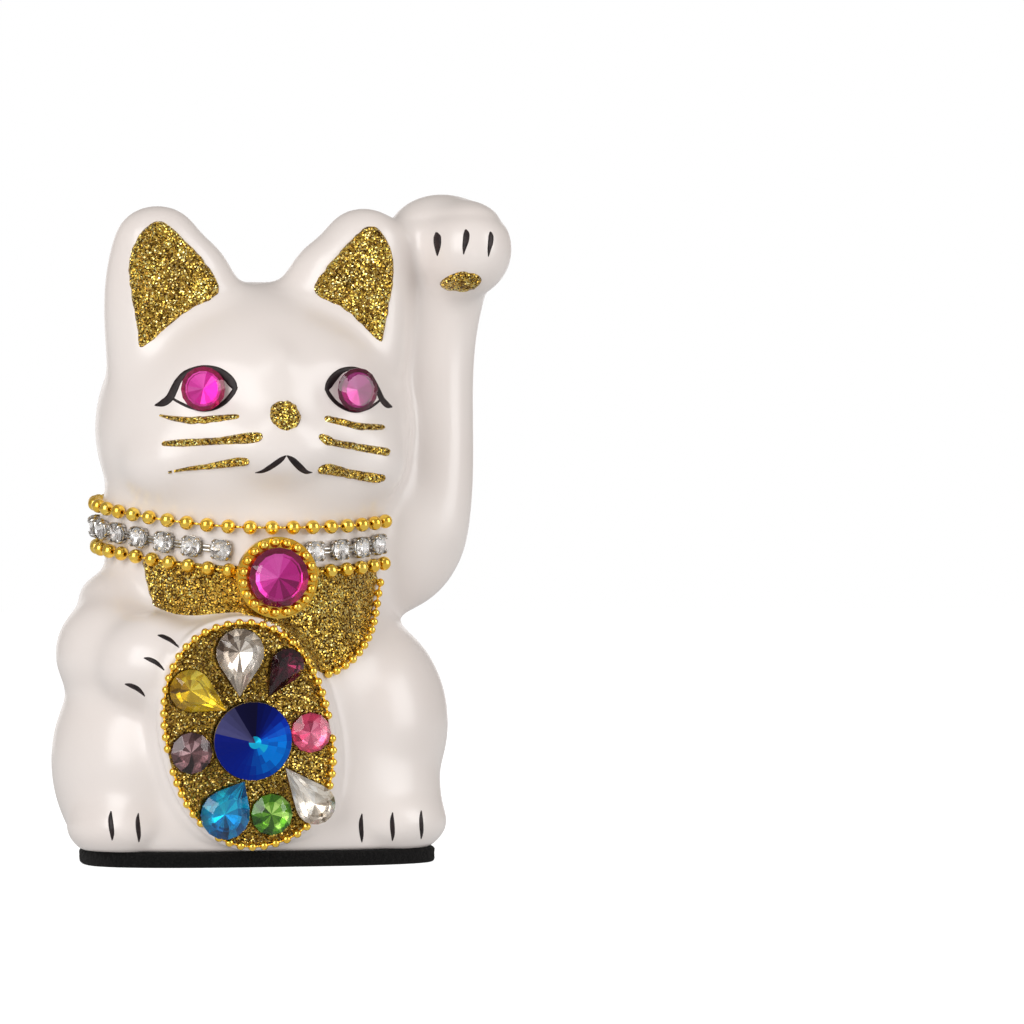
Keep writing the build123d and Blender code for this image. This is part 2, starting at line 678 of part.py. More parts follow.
def main():
    os.makedirs("parts", exist_ok=True)
    body = form() - slab(-BEYOND, PAD_THICK)
    save("body_shell", make_shell(body))
    save("base_pad", make_pad())
    save("plaque_glitter_bed", make_bed())
    gems = make_stones()
    for name, gem in gems.items():
        save(name, gem)
    points = [p for p in plaque_bead_points() if clear_of(gems.values(), p, SMALL_BEAD_R)]
    save("plaque_chain_beads", beads(points, SMALL_BEAD_R))
    save("plaque_chain_links", links(points, SMALL_BEAD_R, PLAQUE_BEAD_PITCH, closed=True))
    for name, side in (("left", 1), ("right", -1)):
        save(f"ear_glitter_{name}", ear_patch(body, side, EAR_PATCHES[name]))
        save(f"whisker_glitter_{name}", [whisker_patch(body, row) for row in WHISKERS[name]])
        save(f"eye_stone_{name}", make_eye(body, *EYES[name]))
    save("nose_glitter", nose_patch(body))
    save("paw_pad_glitter", paw_patch(body))
    setting, ring_beads, gem = make_pendant(body)
    save("pendant_setting", setting)
    save("pendant_bead_ring", ring_beads)
    save("pendant_stone", gem)
    bib = skin(body, bib_outline(), (0, -GLITTER, 0)) - setting
    for point in points:
        if bib.distance_to(point) < SMALL_BEAD_R + GLUE_GAP:
            bib = bib - Pos(point) * Sphere(SMALL_BEAD_R + GLUE_GAP)
    save("bib_glitter", bib)
    bead_list, link_list = make_bib_chain(body)
    save("bib_chain_beads", bead_list)
    save("bib_chain_links", link_list)
    for name, height in (("upper", UPPER_CHAIN_Z), ("lower", LOWER_CHAIN_Z)):
        bead_list, link_list = make_collar_chain(body, height)
        save(f"collar_{name}_beads", bead_list)
        save(f"collar_{name}_links", link_list)
    cups, stones, bars = make_cup_chain(body)
    save("cup_chain_cups", cups)
    save("cup_chain_stones", stones)
    save("cup_chain_bars", bars)


main()
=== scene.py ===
import math

import bmesh
import bpy
import numpy as np
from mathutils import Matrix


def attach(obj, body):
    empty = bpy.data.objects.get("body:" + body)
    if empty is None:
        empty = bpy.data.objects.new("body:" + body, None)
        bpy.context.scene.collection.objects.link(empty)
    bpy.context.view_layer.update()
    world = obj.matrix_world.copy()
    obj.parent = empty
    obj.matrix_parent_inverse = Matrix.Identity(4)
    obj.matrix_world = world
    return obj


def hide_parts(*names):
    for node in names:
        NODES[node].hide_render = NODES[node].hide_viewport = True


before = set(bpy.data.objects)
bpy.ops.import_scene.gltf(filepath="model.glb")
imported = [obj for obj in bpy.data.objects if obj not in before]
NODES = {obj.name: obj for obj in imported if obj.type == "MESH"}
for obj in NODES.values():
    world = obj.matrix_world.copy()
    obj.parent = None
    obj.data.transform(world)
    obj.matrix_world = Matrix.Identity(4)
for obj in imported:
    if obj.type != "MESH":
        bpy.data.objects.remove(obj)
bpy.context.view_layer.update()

import openvdb
from mathutils import Matrix, Vector, noise
from mathutils.bvhtree import BVHTree
from mathutils.geometry import convex_hull_2d, delaunay_2d_cdt

# Every length is in metres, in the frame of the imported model: the cat looks along -Y, and +Z is up.
MM = 0.001

# ---------------------------------------------------------------- camera, lights and floor
CAMERA_AZIMUTH = 10.74           # degrees round from straight ahead, towards the cat's right
CAMERA_DISTANCE = 1.218
CAMERA_HEIGHT = 0.07337
CAMERA_PIVOT = Vector((0.0, -0.006, 0.0))
CAMERA_NEAR = 0.05               # nearest distance that the camera sees
CAMERA_LENS = 203.9              # mm
CAMERA_SENSOR = 36.0             # mm
AXIS_ACROSS = 0.25137            # where the figurine's upright axis falls, as a share of the frame's width
LIGHT_AIM = (0, 0, 0.07)
LIGHTS = [                       # name, place, size, power in watts
    ("key_left", (-0.64, -0.64, 0.34), (0.6, 0.9), 6.6),
    ("fill_right", (0.77, -0.50, 0.20), (0.5, 1.0), 5.0),
    ("back", (0.1, 0.90, 0.10), (0.8, 0.6), 1.2),
]
WORLD_TINT = (1.0, 0.93, 0.88, 1)
WORLD_STRENGTH = 0.37
FLOOR_SIDE = 6.0
FLOOR_TOP = -0.00002             # a hair under the pad
FLOOR_GREY = (0.3, 0.3, 0.3, 1)
FLOOR_GLOW = 0.35                # glow that lights the figurine from below
FLOOR_GLOW_SEEN = 0.92           # glow that the camera sees
WHITE = (1, 1, 1, 1)


def make_camera():
    """Level camera that sees the figurine at the left of the frame, as one of a pair would stand."""
    data = bpy.data.cameras.new("camera")
    data.lens = CAMERA_LENS
    data.sensor_width = CAMERA_SENSOR
    data.clip_start = CAMERA_NEAR
    cam = bpy.data.objects.new("camera", data)
    bpy.context.scene.collection.objects.link(cam)
    angle = math.radians(CAMERA_AZIMUTH)
    cam.location = CAMERA_PIVOT + Vector((-math.sin(angle), -math.cos(angle), 0)) * CAMERA_DISTANCE
    cam.location.z = CAMERA_HEIGHT
    pan = math.atan((0.5 - AXIS_ACROSS) * CAMERA_SENSOR / CAMERA_LENS)
    cam.rotation_euler = (math.radians(90), 0, -angle - pan)
    bpy.context.scene.camera = cam


def area_light(name, spot, size, power):
    data = bpy.data.lights.new(name, "AREA")
    data.shape = "RECTANGLE"
    data.size, data.size_y = size
    data.energy = power
    lamp = bpy.data.objects.new(name, data)
    lamp.location = spot
    lamp.rotation_euler = (Vector(LIGHT_AIM) - Vector(spot)).to_track_quat("-Z", "Y").to_euler()
    bpy.context.scene.collection.objects.link(lamp)


def make_world():
    """Faint warm light from all round, which the camera itself sees as plain white."""
    world = bpy.data.worlds.new("studio")
    bpy.context.scene.world = world
    world.use_nodes = True
    nodes, links = world.node_tree.nodes, world.node_tree.links
    ground = nodes["Background"]
    ground.inputs["Color"].default_value = WORLD_TINT
    ground.inputs["Strength"].default_value = WORLD_STRENGTH
    bright = nodes.new("ShaderNodeBackground")
    bright.inputs["Color"].default_value = WHITE
    bright.inputs["Strength"].default_value = 1.0
    seen = nodes.new("ShaderNodeLightPath")
    mix = nodes.new("ShaderNodeMixShader")
    links.new(seen.outputs["Is Camera Ray"], mix.inputs[0])
    links.new(ground.outputs[0], mix.inputs[1])
    links.new(bright.outputs[0], mix.inputs[2])
    links.new(mix.outputs[0], nodes["World Output"].inputs["Surface"])


def make_floor():
    """Grey floor to the light that falls on the figurine, near white to the camera."""
    bpy.ops.mesh.primitive_plane_add(size=FLOOR_SIDE, location=(0, 0, FLOOR_TOP))
    floor = bpy.context.object
    floor.name = "floor"
    n = Nodes("floor_white")
    n.set(Base_Color=FLOOR_GREY, Roughness=0.9, Emission_Color=WHITE)
    seen = n.add("ShaderNodeLightPath")
    glow = n.add("ShaderNodeMapRange")
    n.link(seen.outputs["Is Camera Ray"], glow.inputs["Value"])
    glow.inputs["To Min"].default_value = FLOOR_GLOW
    glow.inputs["To Max"].default_value = FLOOR_GLOW_SEEN
    n.link(glow.outputs[0], n.shader.inputs["Emission Strength"])
    floor.data.materials.append(n.mat)


# ---------------------------------------------------------------- materials
class Nodes:
    """Short hand for building a material's node tree."""

    def __init__(self, name):
        self.mat = bpy.data.materials.new(name)
        self.mat.use_nodes = True
        self.tree = self.mat.node_tree
        self.shader = self.tree.nodes["Principled BSDF"]

    def add(self, kind, **values):
        node = self.tree.nodes.new(kind)
        for key, value in values.items():
            if key in node.inputs:
                node.inputs[key].default_value = value
            else:
                setattr(node, key, value)
        return node

    def link(self, source, target):
        self.tree.links.new(source, target)

    def set(self, **values):
        for key, value in values.items():
            self.shader.inputs[key.replace("_", " ")].default_value = value

    def place(self):
        return self.add("ShaderNodeTexCoord").outputs["Object"]

    def noise(self, vector, scale, detail, roughness=0.5):
        node = self.add("ShaderNodeTexNoise", Scale=scale, Detail=detail, Roughness=roughness)
        self.link(vector, node.inputs["Vector"])
        return node

    def ramp(self, source, stops):
        node = self.add("ShaderNodeValToRGB")
        bar = node.color_ramp.elements
        while len(bar) < len(stops):
            bar.new(0.5)
        for element, (at, colour) in zip(bar, stops):
            element.position = at
            element.color = (*colour, 1)
        self.link(source, node.inputs["Fac"])
        return node.outputs["Color"]

    def bump(self, height, strength, distance):
        node = self.add("ShaderNodeBump", Strength=strength, Distance=distance)
        self.link(height, node.inputs["Height"])
        self.link(node.outputs["Normal"], self.shader.inputs["Normal"])

    def mottle(self, scale, detail, stops, roughness=0.5):
        """Base colour that drifts between tones. Gives back the noise that it follows."""
        cloud = self.noise(self.place(), scale, detail, roughness).outputs["Fac"]
        self.link(self.ramp(cloud, stops), self.shader.inputs["Base Color"])
        return cloud

    def vector(self, operation, first, second=None, **values):
        """Vector arithmetic on an output, and on a second output or fixed vector where one is given."""
        node = self.add("ShaderNodeVectorMath", operation=operation, **values)
        self.link(first, node.inputs[0])
        if isinstance(second, tuple):
            node.inputs[1].default_value = second
        elif second:
            self.link(second, node.inputs[1])
        return node.outputs[0]

    def facet(self):
        """Base colour from the tones that each facet of a stone carries."""
        tone = self.add("ShaderNodeVertexColor", layer_name="facet").outputs["Color"]
        self.link(tone, self.shader.inputs["Base Color"])
        return tone


def porcelain():
    """Warm white body under a thick clear glaze that is a little uneven."""
    n = Nodes("glazed_porcelain")
    n.mottle(38.0, 3.0, [(0.3, (0.80, 0.735, 0.70)), (0.7, (0.83, 0.775, 0.742))])
    n.set(Roughness=0.42, IOR=1.45, Coat_Weight=0.8, Coat_Roughness=0.24)
    n.bump(n.noise(n.place(), 55.0, 1.5).outputs["Fac"], 0.10, 0.002)
    return n.mat


def plate(name, roughness, scale, dark, light):
    """Polished metal plating."""
    n = Nodes(name)
    n.mottle(scale, 2.0, [(0.3, dark), (0.7, light)])
    n.set(Metallic=1.0, Roughness=roughness)
    return n.mat


FLAKES = 3700.0                  # glitter flakes to the metre
FLAKE_TILT = 1.5                 # how far a flake leans out of the surface
FLAKE_TONES_AND_GLINTS = [                  # share of the flakes below it, tone; mixed at random, and the near-white tones at the top stand for painted glints
    (0.0, (0.03, 0.012, 0.001)), (0.35, (0.20, 0.10, 0.010)), (0.62, (0.60, 0.37, 0.045)),
    (0.85, (1.0, 0.72, 0.15)), (1.0, (1.0, 0.92, 0.48)),
]


def gold_glitter(name, painted_lightness):
    """Loose metal flakes of mixed tone, the lightest standing for painted glints, set at random tilts in
    clear glue. Every tone is scaled by the second argument, a painted lightness that makes copies of this one
    glitter lighter or darker.
    """
    n = Nodes(name)
    place = n.place()
    flakes = n.add("ShaderNodeTexVoronoi", feature="F1", Scale=FLAKES)
    n.link(place, flakes.inputs["Vector"])
    split = n.add("ShaderNodeSeparateColor")
    n.link(flakes.outputs["Color"], split.inputs["Color"])
    stops = [(at, tuple(c * painted_lightness for c in tone)) for at, tone in FLAKE_TONES_AND_GLINTS]
    drift = n.ramp(n.noise(place, 210.0, 3.0).outputs["Fac"], [(0.36, (0.68, 0.66, 0.62)), (0.6, (1, 1, 1))])
    tone = n.add("ShaderNodeMix", data_type="RGBA", blend_type="MULTIPLY")
    tone.inputs["Factor"].default_value = 1.0
    n.link(n.ramp(split.outputs["Red"], stops), tone.inputs[6])
    n.link(drift, tone.inputs[7])
    n.link(tone.outputs[2], n.shader.inputs["Base Color"])
    n.set(Metallic=0.8, Roughness=0.22)
    centred = n.vector("SUBTRACT", flakes.outputs["Color"], (0.5, 0.5, 0.5))
    lean = n.vector("SCALE", centred, Scale=FLAKE_TILT)
    facing = n.vector("ADD", n.add("ShaderNodeNewGeometry").outputs["Normal"], lean)
    n.link(n.vector("NORMALIZE", facing), n.shader.inputs["Normal"])
    return n.mat


def black_felt():
    n = Nodes("black_felt")
    fibre = n.mottle(2400.0, 4.0, [(0.35, (0.002, 0.002, 0.002)), (0.8, (0.014, 0.013, 0.013))], 0.7)
    n.set(Roughness=0.95, Sheen_Weight=0.04, Sheen_Roughness=0.5, Specular_IOR_Level=0.15)
    n.bump(fibre, 0.9, 0.0006)
    return n.mat


def dark_paint():
    n = Nodes("dark_paint")
    n.mottle(900.0, 3.0, [(0.3, (0.006, 0.003, 0.004)), (0.8, (0.035, 0.02, 0.02))])
    n.set(Roughness=0.45, Specular_IOR_Level=0.3)
    return n.mat


def glass_material(name, colour):
    n = Nodes(name)
    n.set(Base_Color=(*colour, 1), Roughness=0.0, IOR=1.54, Transmission_Weight=1.0)
    return n.mat


def foil_material(name, glow):
    """Mirror foil behind a stone, with a glow that stands for the light which the cut gathers on it."""
    n = Nodes(name)
    n.link(n.facet(), n.shader.inputs["Emission Color"])
    n.set(Metallic=1.0, Roughness=0.22, Emission_Strength=glow)
    return n.mat


def coated_foil():
    """Foil right under a polished front, coloured by its facet tones, their painted highlight and shade
    included.
    """
    n = Nodes("blue_foil_front")
    n.facet()
    n.set(Metallic=1.0, Roughness=0.3, Coat_Weight=0.2, Coat_Roughness=0.02)
    return n.mat


# ---------------------------------------------------------------- mesh help
def new_object(name, verts, faces, mats, smooth=True):
    mesh = bpy.data.meshes.new(name)
    mesh.from_pydata([tuple(v) for v in verts], [], [tuple(f) for f in faces])
    mesh.validate()
    obj = bpy.data.objects.new(name, mesh)
    bpy.context.scene.collection.objects.link(obj)
    for mat in mats:
        mesh.materials.append(mat)
    if smooth:
        mesh.shade_smooth()
    return obj


def finish_piece(obj, slot, *nodes):
    """Rides on the one body and stands for CAD nodes, which it hides. The slot is not used."""
    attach(obj, "root")
    if nodes:
        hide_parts(*nodes)
    return obj


def turn_outward(obj):
    """Makes every closed part of a mesh face outward."""
    bm = bmesh.new()
    bm.from_mesh(obj.data)
    bmesh.ops.recalc_face_normals(bm, faces=bm.faces)
    bm.to_mesh(obj.data)
    bm.free()


class Builder:
    """Collects the points and faces of many small parts into one mesh."""

    def __init__(self):
        self.verts = []
        self.faces = []

    def add(self, verts, faces):
        start = len(self.verts)
        self.verts += [Vector(v) for v in verts]
        self.faces += [[start + i for i in face] for face in faces]

    def lathe(self, place, profile, segments):
        """Turns (radius, height) points round the place's Z axis. A radius of 0 closes an end."""
        verts, rows = [], []
        for radius, height in profile:
            row = []
            count = 1 if radius == 0 else segments
            for k in range(count):
                angle = 2 * math.pi * k / segments
                row.append(len(verts))
                verts.append(place @ Vector((radius * math.cos(angle), radius * math.sin(angle), height)))
            rows.append(row)
        faces = []
        for low, high in zip(rows, rows[1:]):
            for k in range(segments):
                after = (k + 1) % segments
                if len(low) == 1:
                    faces.append([low[0], high[after], high[k]])
                elif len(high) == 1:
                    faces.append([low[k], low[after], high[0]])
                else:
                    faces.append([low[k], low[after], high[after], high[k]])
        self.add(verts, faces)

    def strip(self, spine, across, thick, width):
        """Flat bar along a spine. It has a width and a direction of its width at each point."""
        verts, faces = [], []
        for i, point in enumerate(spine):
            ahead = spine[min(i + 1, len(spine) - 1)] - spine[max(i - 1, 0)]
            out = ahead.cross(across[i]).normalized() * thick / 2
            side = across[i].normalized() * width[i] / 2
            verts += [point - side - out, point + side - out, point + side + out, point - side + out]
        for i in range(len(spine) - 1):
            a = 4 * i
            for k in range(4):
                faces.append([a + k, a + (k + 1) % 4, a + 4 + (k + 1) % 4, a + 4 + k])
        faces.append([3, 2, 1, 0])
        last = 4 * (len(spine) - 1)
        faces.append([last, last + 1, last + 2, last + 3])
        self.add(verts, faces)

    def build(self, name, mat):
        obj = new_object(name, self.verts, self.faces, [mat])
        turn_outward(obj)
        return obj


def frame_at(origin, z_way, x_way):
    """Placement matrix with Z along z_way and X as near x_way as it can be."""
    z_way = Vector(z_way).normalized()
    y_way = z_way.cross(Vector(x_way)).normalized()
    x_way = y_way.cross(z_way)
    matrix = Matrix((x_way, y_way, z_way)).transposed().to_4x4()
    matrix.translation = origin
    return matrix


def turned(place, way):
    """A direction given in a placement's own axes."""
    return place.to_3x3() @ Vector(way)


def seen_from(place, points):
    """Points in a placement's own axes."""
    inverse = place.inverted()
    return np.array([(inverse @ Vector(p))[:] for p in points])


# ---------------------------------------------------------------- reading the CAD nodes
WELD = 1e-7                      # corner points closer than this are one point
MERGE = 2e-5                     # outline points closer than this are one point
WALL_SLOPE = 0.02                # slope up to which a triangle counts as a side wall


def node_mesh(node):
    """Merged corner points and triangles of a CAD node."""
    mesh = NODES[node].data
    mesh.calc_loop_triangles()
    points = np.empty(len(mesh.vertices) * 3)
    mesh.vertices.foreach_get("co", points)
    tris = np.empty(len(mesh.loop_triangles) * 3, dtype=np.int64)
    mesh.loop_triangles.foreach_get("vertices", tris)
    cells = np.round(points.reshape(-1, 3) / WELD).astype(np.int64)
    unique, where = np.unique(cells, axis=0, return_inverse=True)
    return unique * WELD, where.ravel()[tris].reshape(-1, 3)


def islands(node):
    """Corner points of each separate solid in a CAD node."""
    points, tris = node_mesh(node)
    labels = np.arange(len(points))
    while True:
        lowest = labels[tris].min(axis=1)
        after = labels.copy()
        np.minimum.at(after, tris.ravel(), np.repeat(lowest, 3))
        after = after[after]
        if (after == labels).all():
            break
        labels = after
    return [points[labels == label] for label in np.unique(labels)]


def box_middle(points):
    return Vector((points.min(axis=0) + points.max(axis=0)) / 2)


def main_axes(points):
    """Directions of a cloud of points, the longest first."""
    _, _, ways = np.linalg.svd(points - points.mean(axis=0), full_matrices=False)
    return [Vector(way) for way in ways]


def along_axis(points, axis):
    """How far along an axis each point lies from the middle of them all."""
    return (points - points.mean(axis=0)) @ np.array(axis)


def flat_frame(points):
    """Placement in the middle of a flat node: X across, Z out of its front."""
    out = main_axes(points)[2]
    if out.y > 0:
        out = -out
    return frame_at(Vector(points.mean(axis=0)), out, (1, 0, 0))


def round_middle(flat, eye=(0, 0)):
    """Angle and distance of each flat point from the point `eye`."""
    away = flat - eye
    return np.arctan2(away[:, 1], away[:, 0]), np.hypot(away[:, 0], away[:, 1])


def steep(corners, axis, least):
    """Which triangles stand within a small slope of an axis: a layer's side walls."""
    normal = np.cross(corners[:, 1] - corners[:, 0], corners[:, 2] - corners[:, 0])
    return np.abs(normal[:, axis]) / (np.linalg.norm(normal, axis=1) + 1e-30) < least


def wall_outline(node, eye, keep=None):
    """Front outline, x and z, of a CAD layer whose side walls stand along Y, walked round the point `eye`."""
    points, tris = node_mesh(node)
    wall = steep(points[tris], 1, WALL_SLOPE)
    flat = np.unique(np.round(points[np.unique(tris[wall])][:, [0, 2]] / MERGE), axis=0) * MERGE
    if keep is not None:
        flat = np.array([p for p in flat if keep(p)])
    angles, _ = round_middle(flat, eye)
    return flat[np.argsort(angles)]


# ---------------------------------------------------------------- ceramic skin
VOXEL = 0.65 * MM
BAND = 7.0                       # voxels of distance kept each side of the surface
MARGIN = 6                       # empty voxels round the skin
FINE_ROUNDING = 0.9 * MM         # creases round the plaque and the foot
SOFT_ROUNDING = 2.6 * MM         # creases everywhere else
FOOT_BAND = (5 * MM, 12 * MM)    # height over which the fine rounding turns into the soft one
OVAL_POWER = 2.25                # squareness of the plaque's oval
PLAQUE_RIM = 2.0 * MM            # width of the crisp rim round the plaque's glitter
PLAQUE_FADE = (1.0, 1.4)         # where the crispness ends outside that rim
PLAQUE_DEPTH = (-9 * MM, -3 * MM)   # and where it ends behind the plaque
HOLLOW_WIDTH = 2.4 * MM          # hollow filled in round the plaque: its width,
HOLLOW_FILL = 1.6                # and how much it is overfilled
GROOVE_Z = 135.6 * MM            # crease between the raised paw's toes and its back
GROOVE_X = 42 * MM
GROOVE_BEND = 0.012 / MM
GROOVE_WIDTH = 1.1 * MM
GROOVE_DEPTH = 0.35 * MM
GROOVE_START = (31 * MM, 34 * MM)   # x where the crease begins
GROOVE_END = (-8 * MM, -3 * MM)  # y where it runs out towards the back
ESCAPES = [Vector(way) for way in ((1, 0, 0), (-1, 0, 0), (0, 1, 0), (0, -1, 0), (0, 0, 1))]


def patches(faces):
    """Groups of faces that hang together by their edges."""
    left, groups = set(faces), []
    while left:
        group = [left.pop()]
        for face in group:
            for edge in face.edges:
                for other in edge.link_faces:
                    if other in left:
                        left.remove(other)
                        group.append(other)
        groups.append(group)
    return groups


def outside_of_casting(obj):
    """The casting's outer surface as a closed mesh, with the cavity and the pour hole left out.
    Small pockets of the outer surface can look buried too: they have open neighbours, and are kept."""
    bm = bmesh.new()
    bm.from_mesh(obj.data)
    bmesh.ops.remove_doubles(bm, verts=bm.verts, dist=WELD)
    tree = BVHTree.FromBMesh(bm)
    buried = set()
    for face in bm.faces:
        spot = face.calc_center_median() + face.normal * MERGE
        if all(tree.ray_cast(spot, way)[0] is not None for way in ESCAPES):
            buried.add(face)
    groups = sorted(patches(buried), key=len)
    inner = list(groups.pop())
    for group in groups:
        if all(other in buried for face in group for edge in face.edges for other in edge.link_faces):
            inner += group
    bmesh.ops.delete(bm, geom=inner, context="FACES")
    rim = [edge for edge in bm.edges if edge.is_boundary]
    bmesh.ops.holes_fill(bm, edges=rim, sides=0)
    bmesh.ops.triangulate(bm, faces=bm.faces)
    points = np.array([v.co[:] for v in bm.verts], dtype=np.float32)
    bm.verts.index_update()
    faces = np.array([[v.index for v in f.verts] for f in bm.faces], dtype=np.uint32)
    bm.free()
    return points, faces


def blur(field, width):
    """Gaussian blur of a field of voxels."""
    sigma = width / VOXEL
    reach = max(1, int(math.ceil(2.6 * sigma)))
    taps = np.exp(-0.5 * (np.arange(-reach, reach + 1) / sigma) ** 2)
    taps = (taps / taps.sum()).astype(np.float32)
    for axis in range(3):
        padded = np.pad(field, [(reach, reach) if a == axis else (0, 0) for a in range(3)], mode="edge")
        total = np.zeros_like(field)
        for k, weight in enumerate(taps):
            cut = [slice(None)] * 3
            cut[axis] = slice(k, k + field.shape[axis])
            total += weight * padded[tuple(cut)]
        field = total
    return field


def soften(field, width):
    """Rounds creases over about this width while the forms keep their size."""
    once = blur(field, width)
    return 2 * once - blur(once, width)


class Clay:
    """A dense signed-distance field of the skin that can be worked like clay before it is meshed."""

    def __init__(self, points, faces):
        transform = openvdb.createLinearTransform(voxelSize=VOXEL)
        grid = openvdb.FloatGrid.createLevelSetFromPolygons(
            points, triangles=faces, transform=transform, halfWidth=BAND
        )
        low, high = grid.evalActiveVoxelBoundingBox()
        self.low = np.array(low) - MARGIN
        shape = np.array(high) + 1 + MARGIN - self.low
        self.field = np.empty(shape, dtype=np.float32)
        grid.copyToArray(self.field, ijk=tuple(int(i) for i in self.low))
        self.transform = transform

    def coords(self):
        x, y, z = ((self.low[a] + np.arange(self.field.shape[a])) * VOXEL for a in range(3))
        return x[:, None, None], y[None, :, None], z[None, None, :]

    def mesh(self):
        grid = openvdb.FloatGrid(float(BAND * VOXEL))
        grid.transform = self.transform
        grid.copyFromArray(self.field, ijk=tuple(int(i) for i in self.low))
        return grid.convertToQuads(isovalue=0.0)


def smooth_step(value, low, high):
    share = np.clip((value - low) / (high - low), 0, 1)
    return share * share * (3 - 2 * share)


def make_skin(mat):
    clay = Clay(*outside_of_casting(NODES["body_shell"]))
    x, y, z = clay.coords()
    fine = soften(clay.field, FINE_ROUNDING)
    soft = soften(clay.field, SOFT_ROUNDING)
    points, _ = node_mesh("plaque_glitter_bed")
    place = plaque_frame()
    oval = frame_at(place.translation, turned(place, (0, 0, 1)), main_axes(points)[0])
    u, v, w = (row[0] * x + row[1] * y + row[2] * z + row[3] for row in list(oval.inverted())[:3])
    half_u, half_v = np.abs(seen_from(oval, points)[:, :2]).max(axis=0) + PLAQUE_RIM
    reach = (np.abs(u) / half_u) ** OVAL_POWER + (np.abs(v) / half_v) ** OVAL_POWER
    near_plaque = (1 - smooth_step(reach, *PLAQUE_FADE)) * smooth_step(w, *PLAQUE_DEPTH)
    softness = smooth_step(z, *FOOT_BAND) * (1 - near_plaque)
    hollow = np.clip(fine - blur(fine, HOLLOW_WIDTH), 0, None)
    clay.field = fine * (1 - softness) + soft * softness - HOLLOW_FILL * hollow * near_plaque
    level = GROOVE_Z - GROOVE_BEND * (x - GROOVE_X) ** 2
    groove = np.exp(-((z - level) / GROOVE_WIDTH) ** 2) * smooth_step(x, *GROOVE_START)
    clay.field += GROOVE_DEPTH * groove * (1 - smooth_step(y, *GROOVE_END))
    skin = new_object("porcelain_cat", *clay.mesh(), [mat])
    return finish_piece(skin, "glazed_porcelain", "body_shell")


class Surface:
    """Where the glazed surface lies, for seating the trimmings on it."""

    def __init__(self, obj):
        mesh = obj.data
        corners = [v.co for v in mesh.vertices]
        self.tree = BVHTree.FromPolygons(corners, [p.vertices for p in mesh.polygons])

    def front(self, x, z):
        point, normal, _, _ = self.tree.ray_cast(Vector((x, -0.2, z)), Vector((0, 1, 0)))
        return point, normal

    def nearest(self, point):
        spot, normal, _, _ = self.tree.find_nearest(Vector(point))
        return spot, normal


# ---------------------------------------------------------------- thin layers: glitter and paint
def resample(outline, pitch):
    """Points evenly spaced along a closed outline, about `pitch` apart."""
    loop = np.vstack([outline, outline[:1]])
    steps = np.linalg.norm(np.diff(loop, axis=0), axis=1)
    along = np.concatenate([[0], np.cumsum(steps)])
    count = max(8, int(round(along[-1] / pitch)))
    stops = np.arange(count) * along[-1] / count
    return np.column_stack([np.interp(stops, along, loop[:, a]) for a in range(2)])


def outline_distance(points, outline):
    """Distance of each point from a closed outline."""
    after = np.roll(outline, -1, axis=0)
    way = after - outline
    length = (way ** 2).sum(axis=1) + 1e-18
    best = np.full(len(points), 1e9)
    for a, w, n in zip(outline, way, length):
        share = np.clip(((points - a) @ w) / n, 0, 1)
        gap = np.linalg.norm(points - (a + share[:, None] * w), axis=1)
        best = np.minimum(best, gap)
    return best


def inside(points, outline):
    """Whether each point lies inside a closed outline."""
    after = np.roll(outline, -1, axis=0)
    odd = np.zeros(len(points), dtype=bool)
    for (ax, ay), (bx, by) in zip(outline, after):
        spans = (ay > points[:, 1]) != (by > points[:, 1])
        cross = ax + (points[:, 1] - ay) / (by - ay + 1e-30) * (bx - ax)
        odd ^= spans & (points[:, 0] < cross)
    return odd


def grow(outline, by):
    """A counter-clockwise outline moved outward."""
    line = resample(outline, 0.5 * MM)
    way = np.roll(line, -2, axis=0) - np.roll(line, 2, axis=0)
    out = np.column_stack([way[:, 1], -way[:, 0]]) / np.linalg.norm(way, axis=1)[:, None]
    return line + by * out


def hex_grid(outline, pitch):
    low, high = outline.min(axis=0), outline.max(axis=0)
    rows = np.arange(low[1], high[1], pitch * 0.866)
    cols = np.arange(low[0], high[0], pitch)
    grid = [(c + (pitch / 2 if i % 2 else 0), r) for i, r in enumerate(rows) for c in cols]
    return np.array(grid)


LAYER_SINK = 0.25 * MM           # how deep a layer's underside lies below its seat


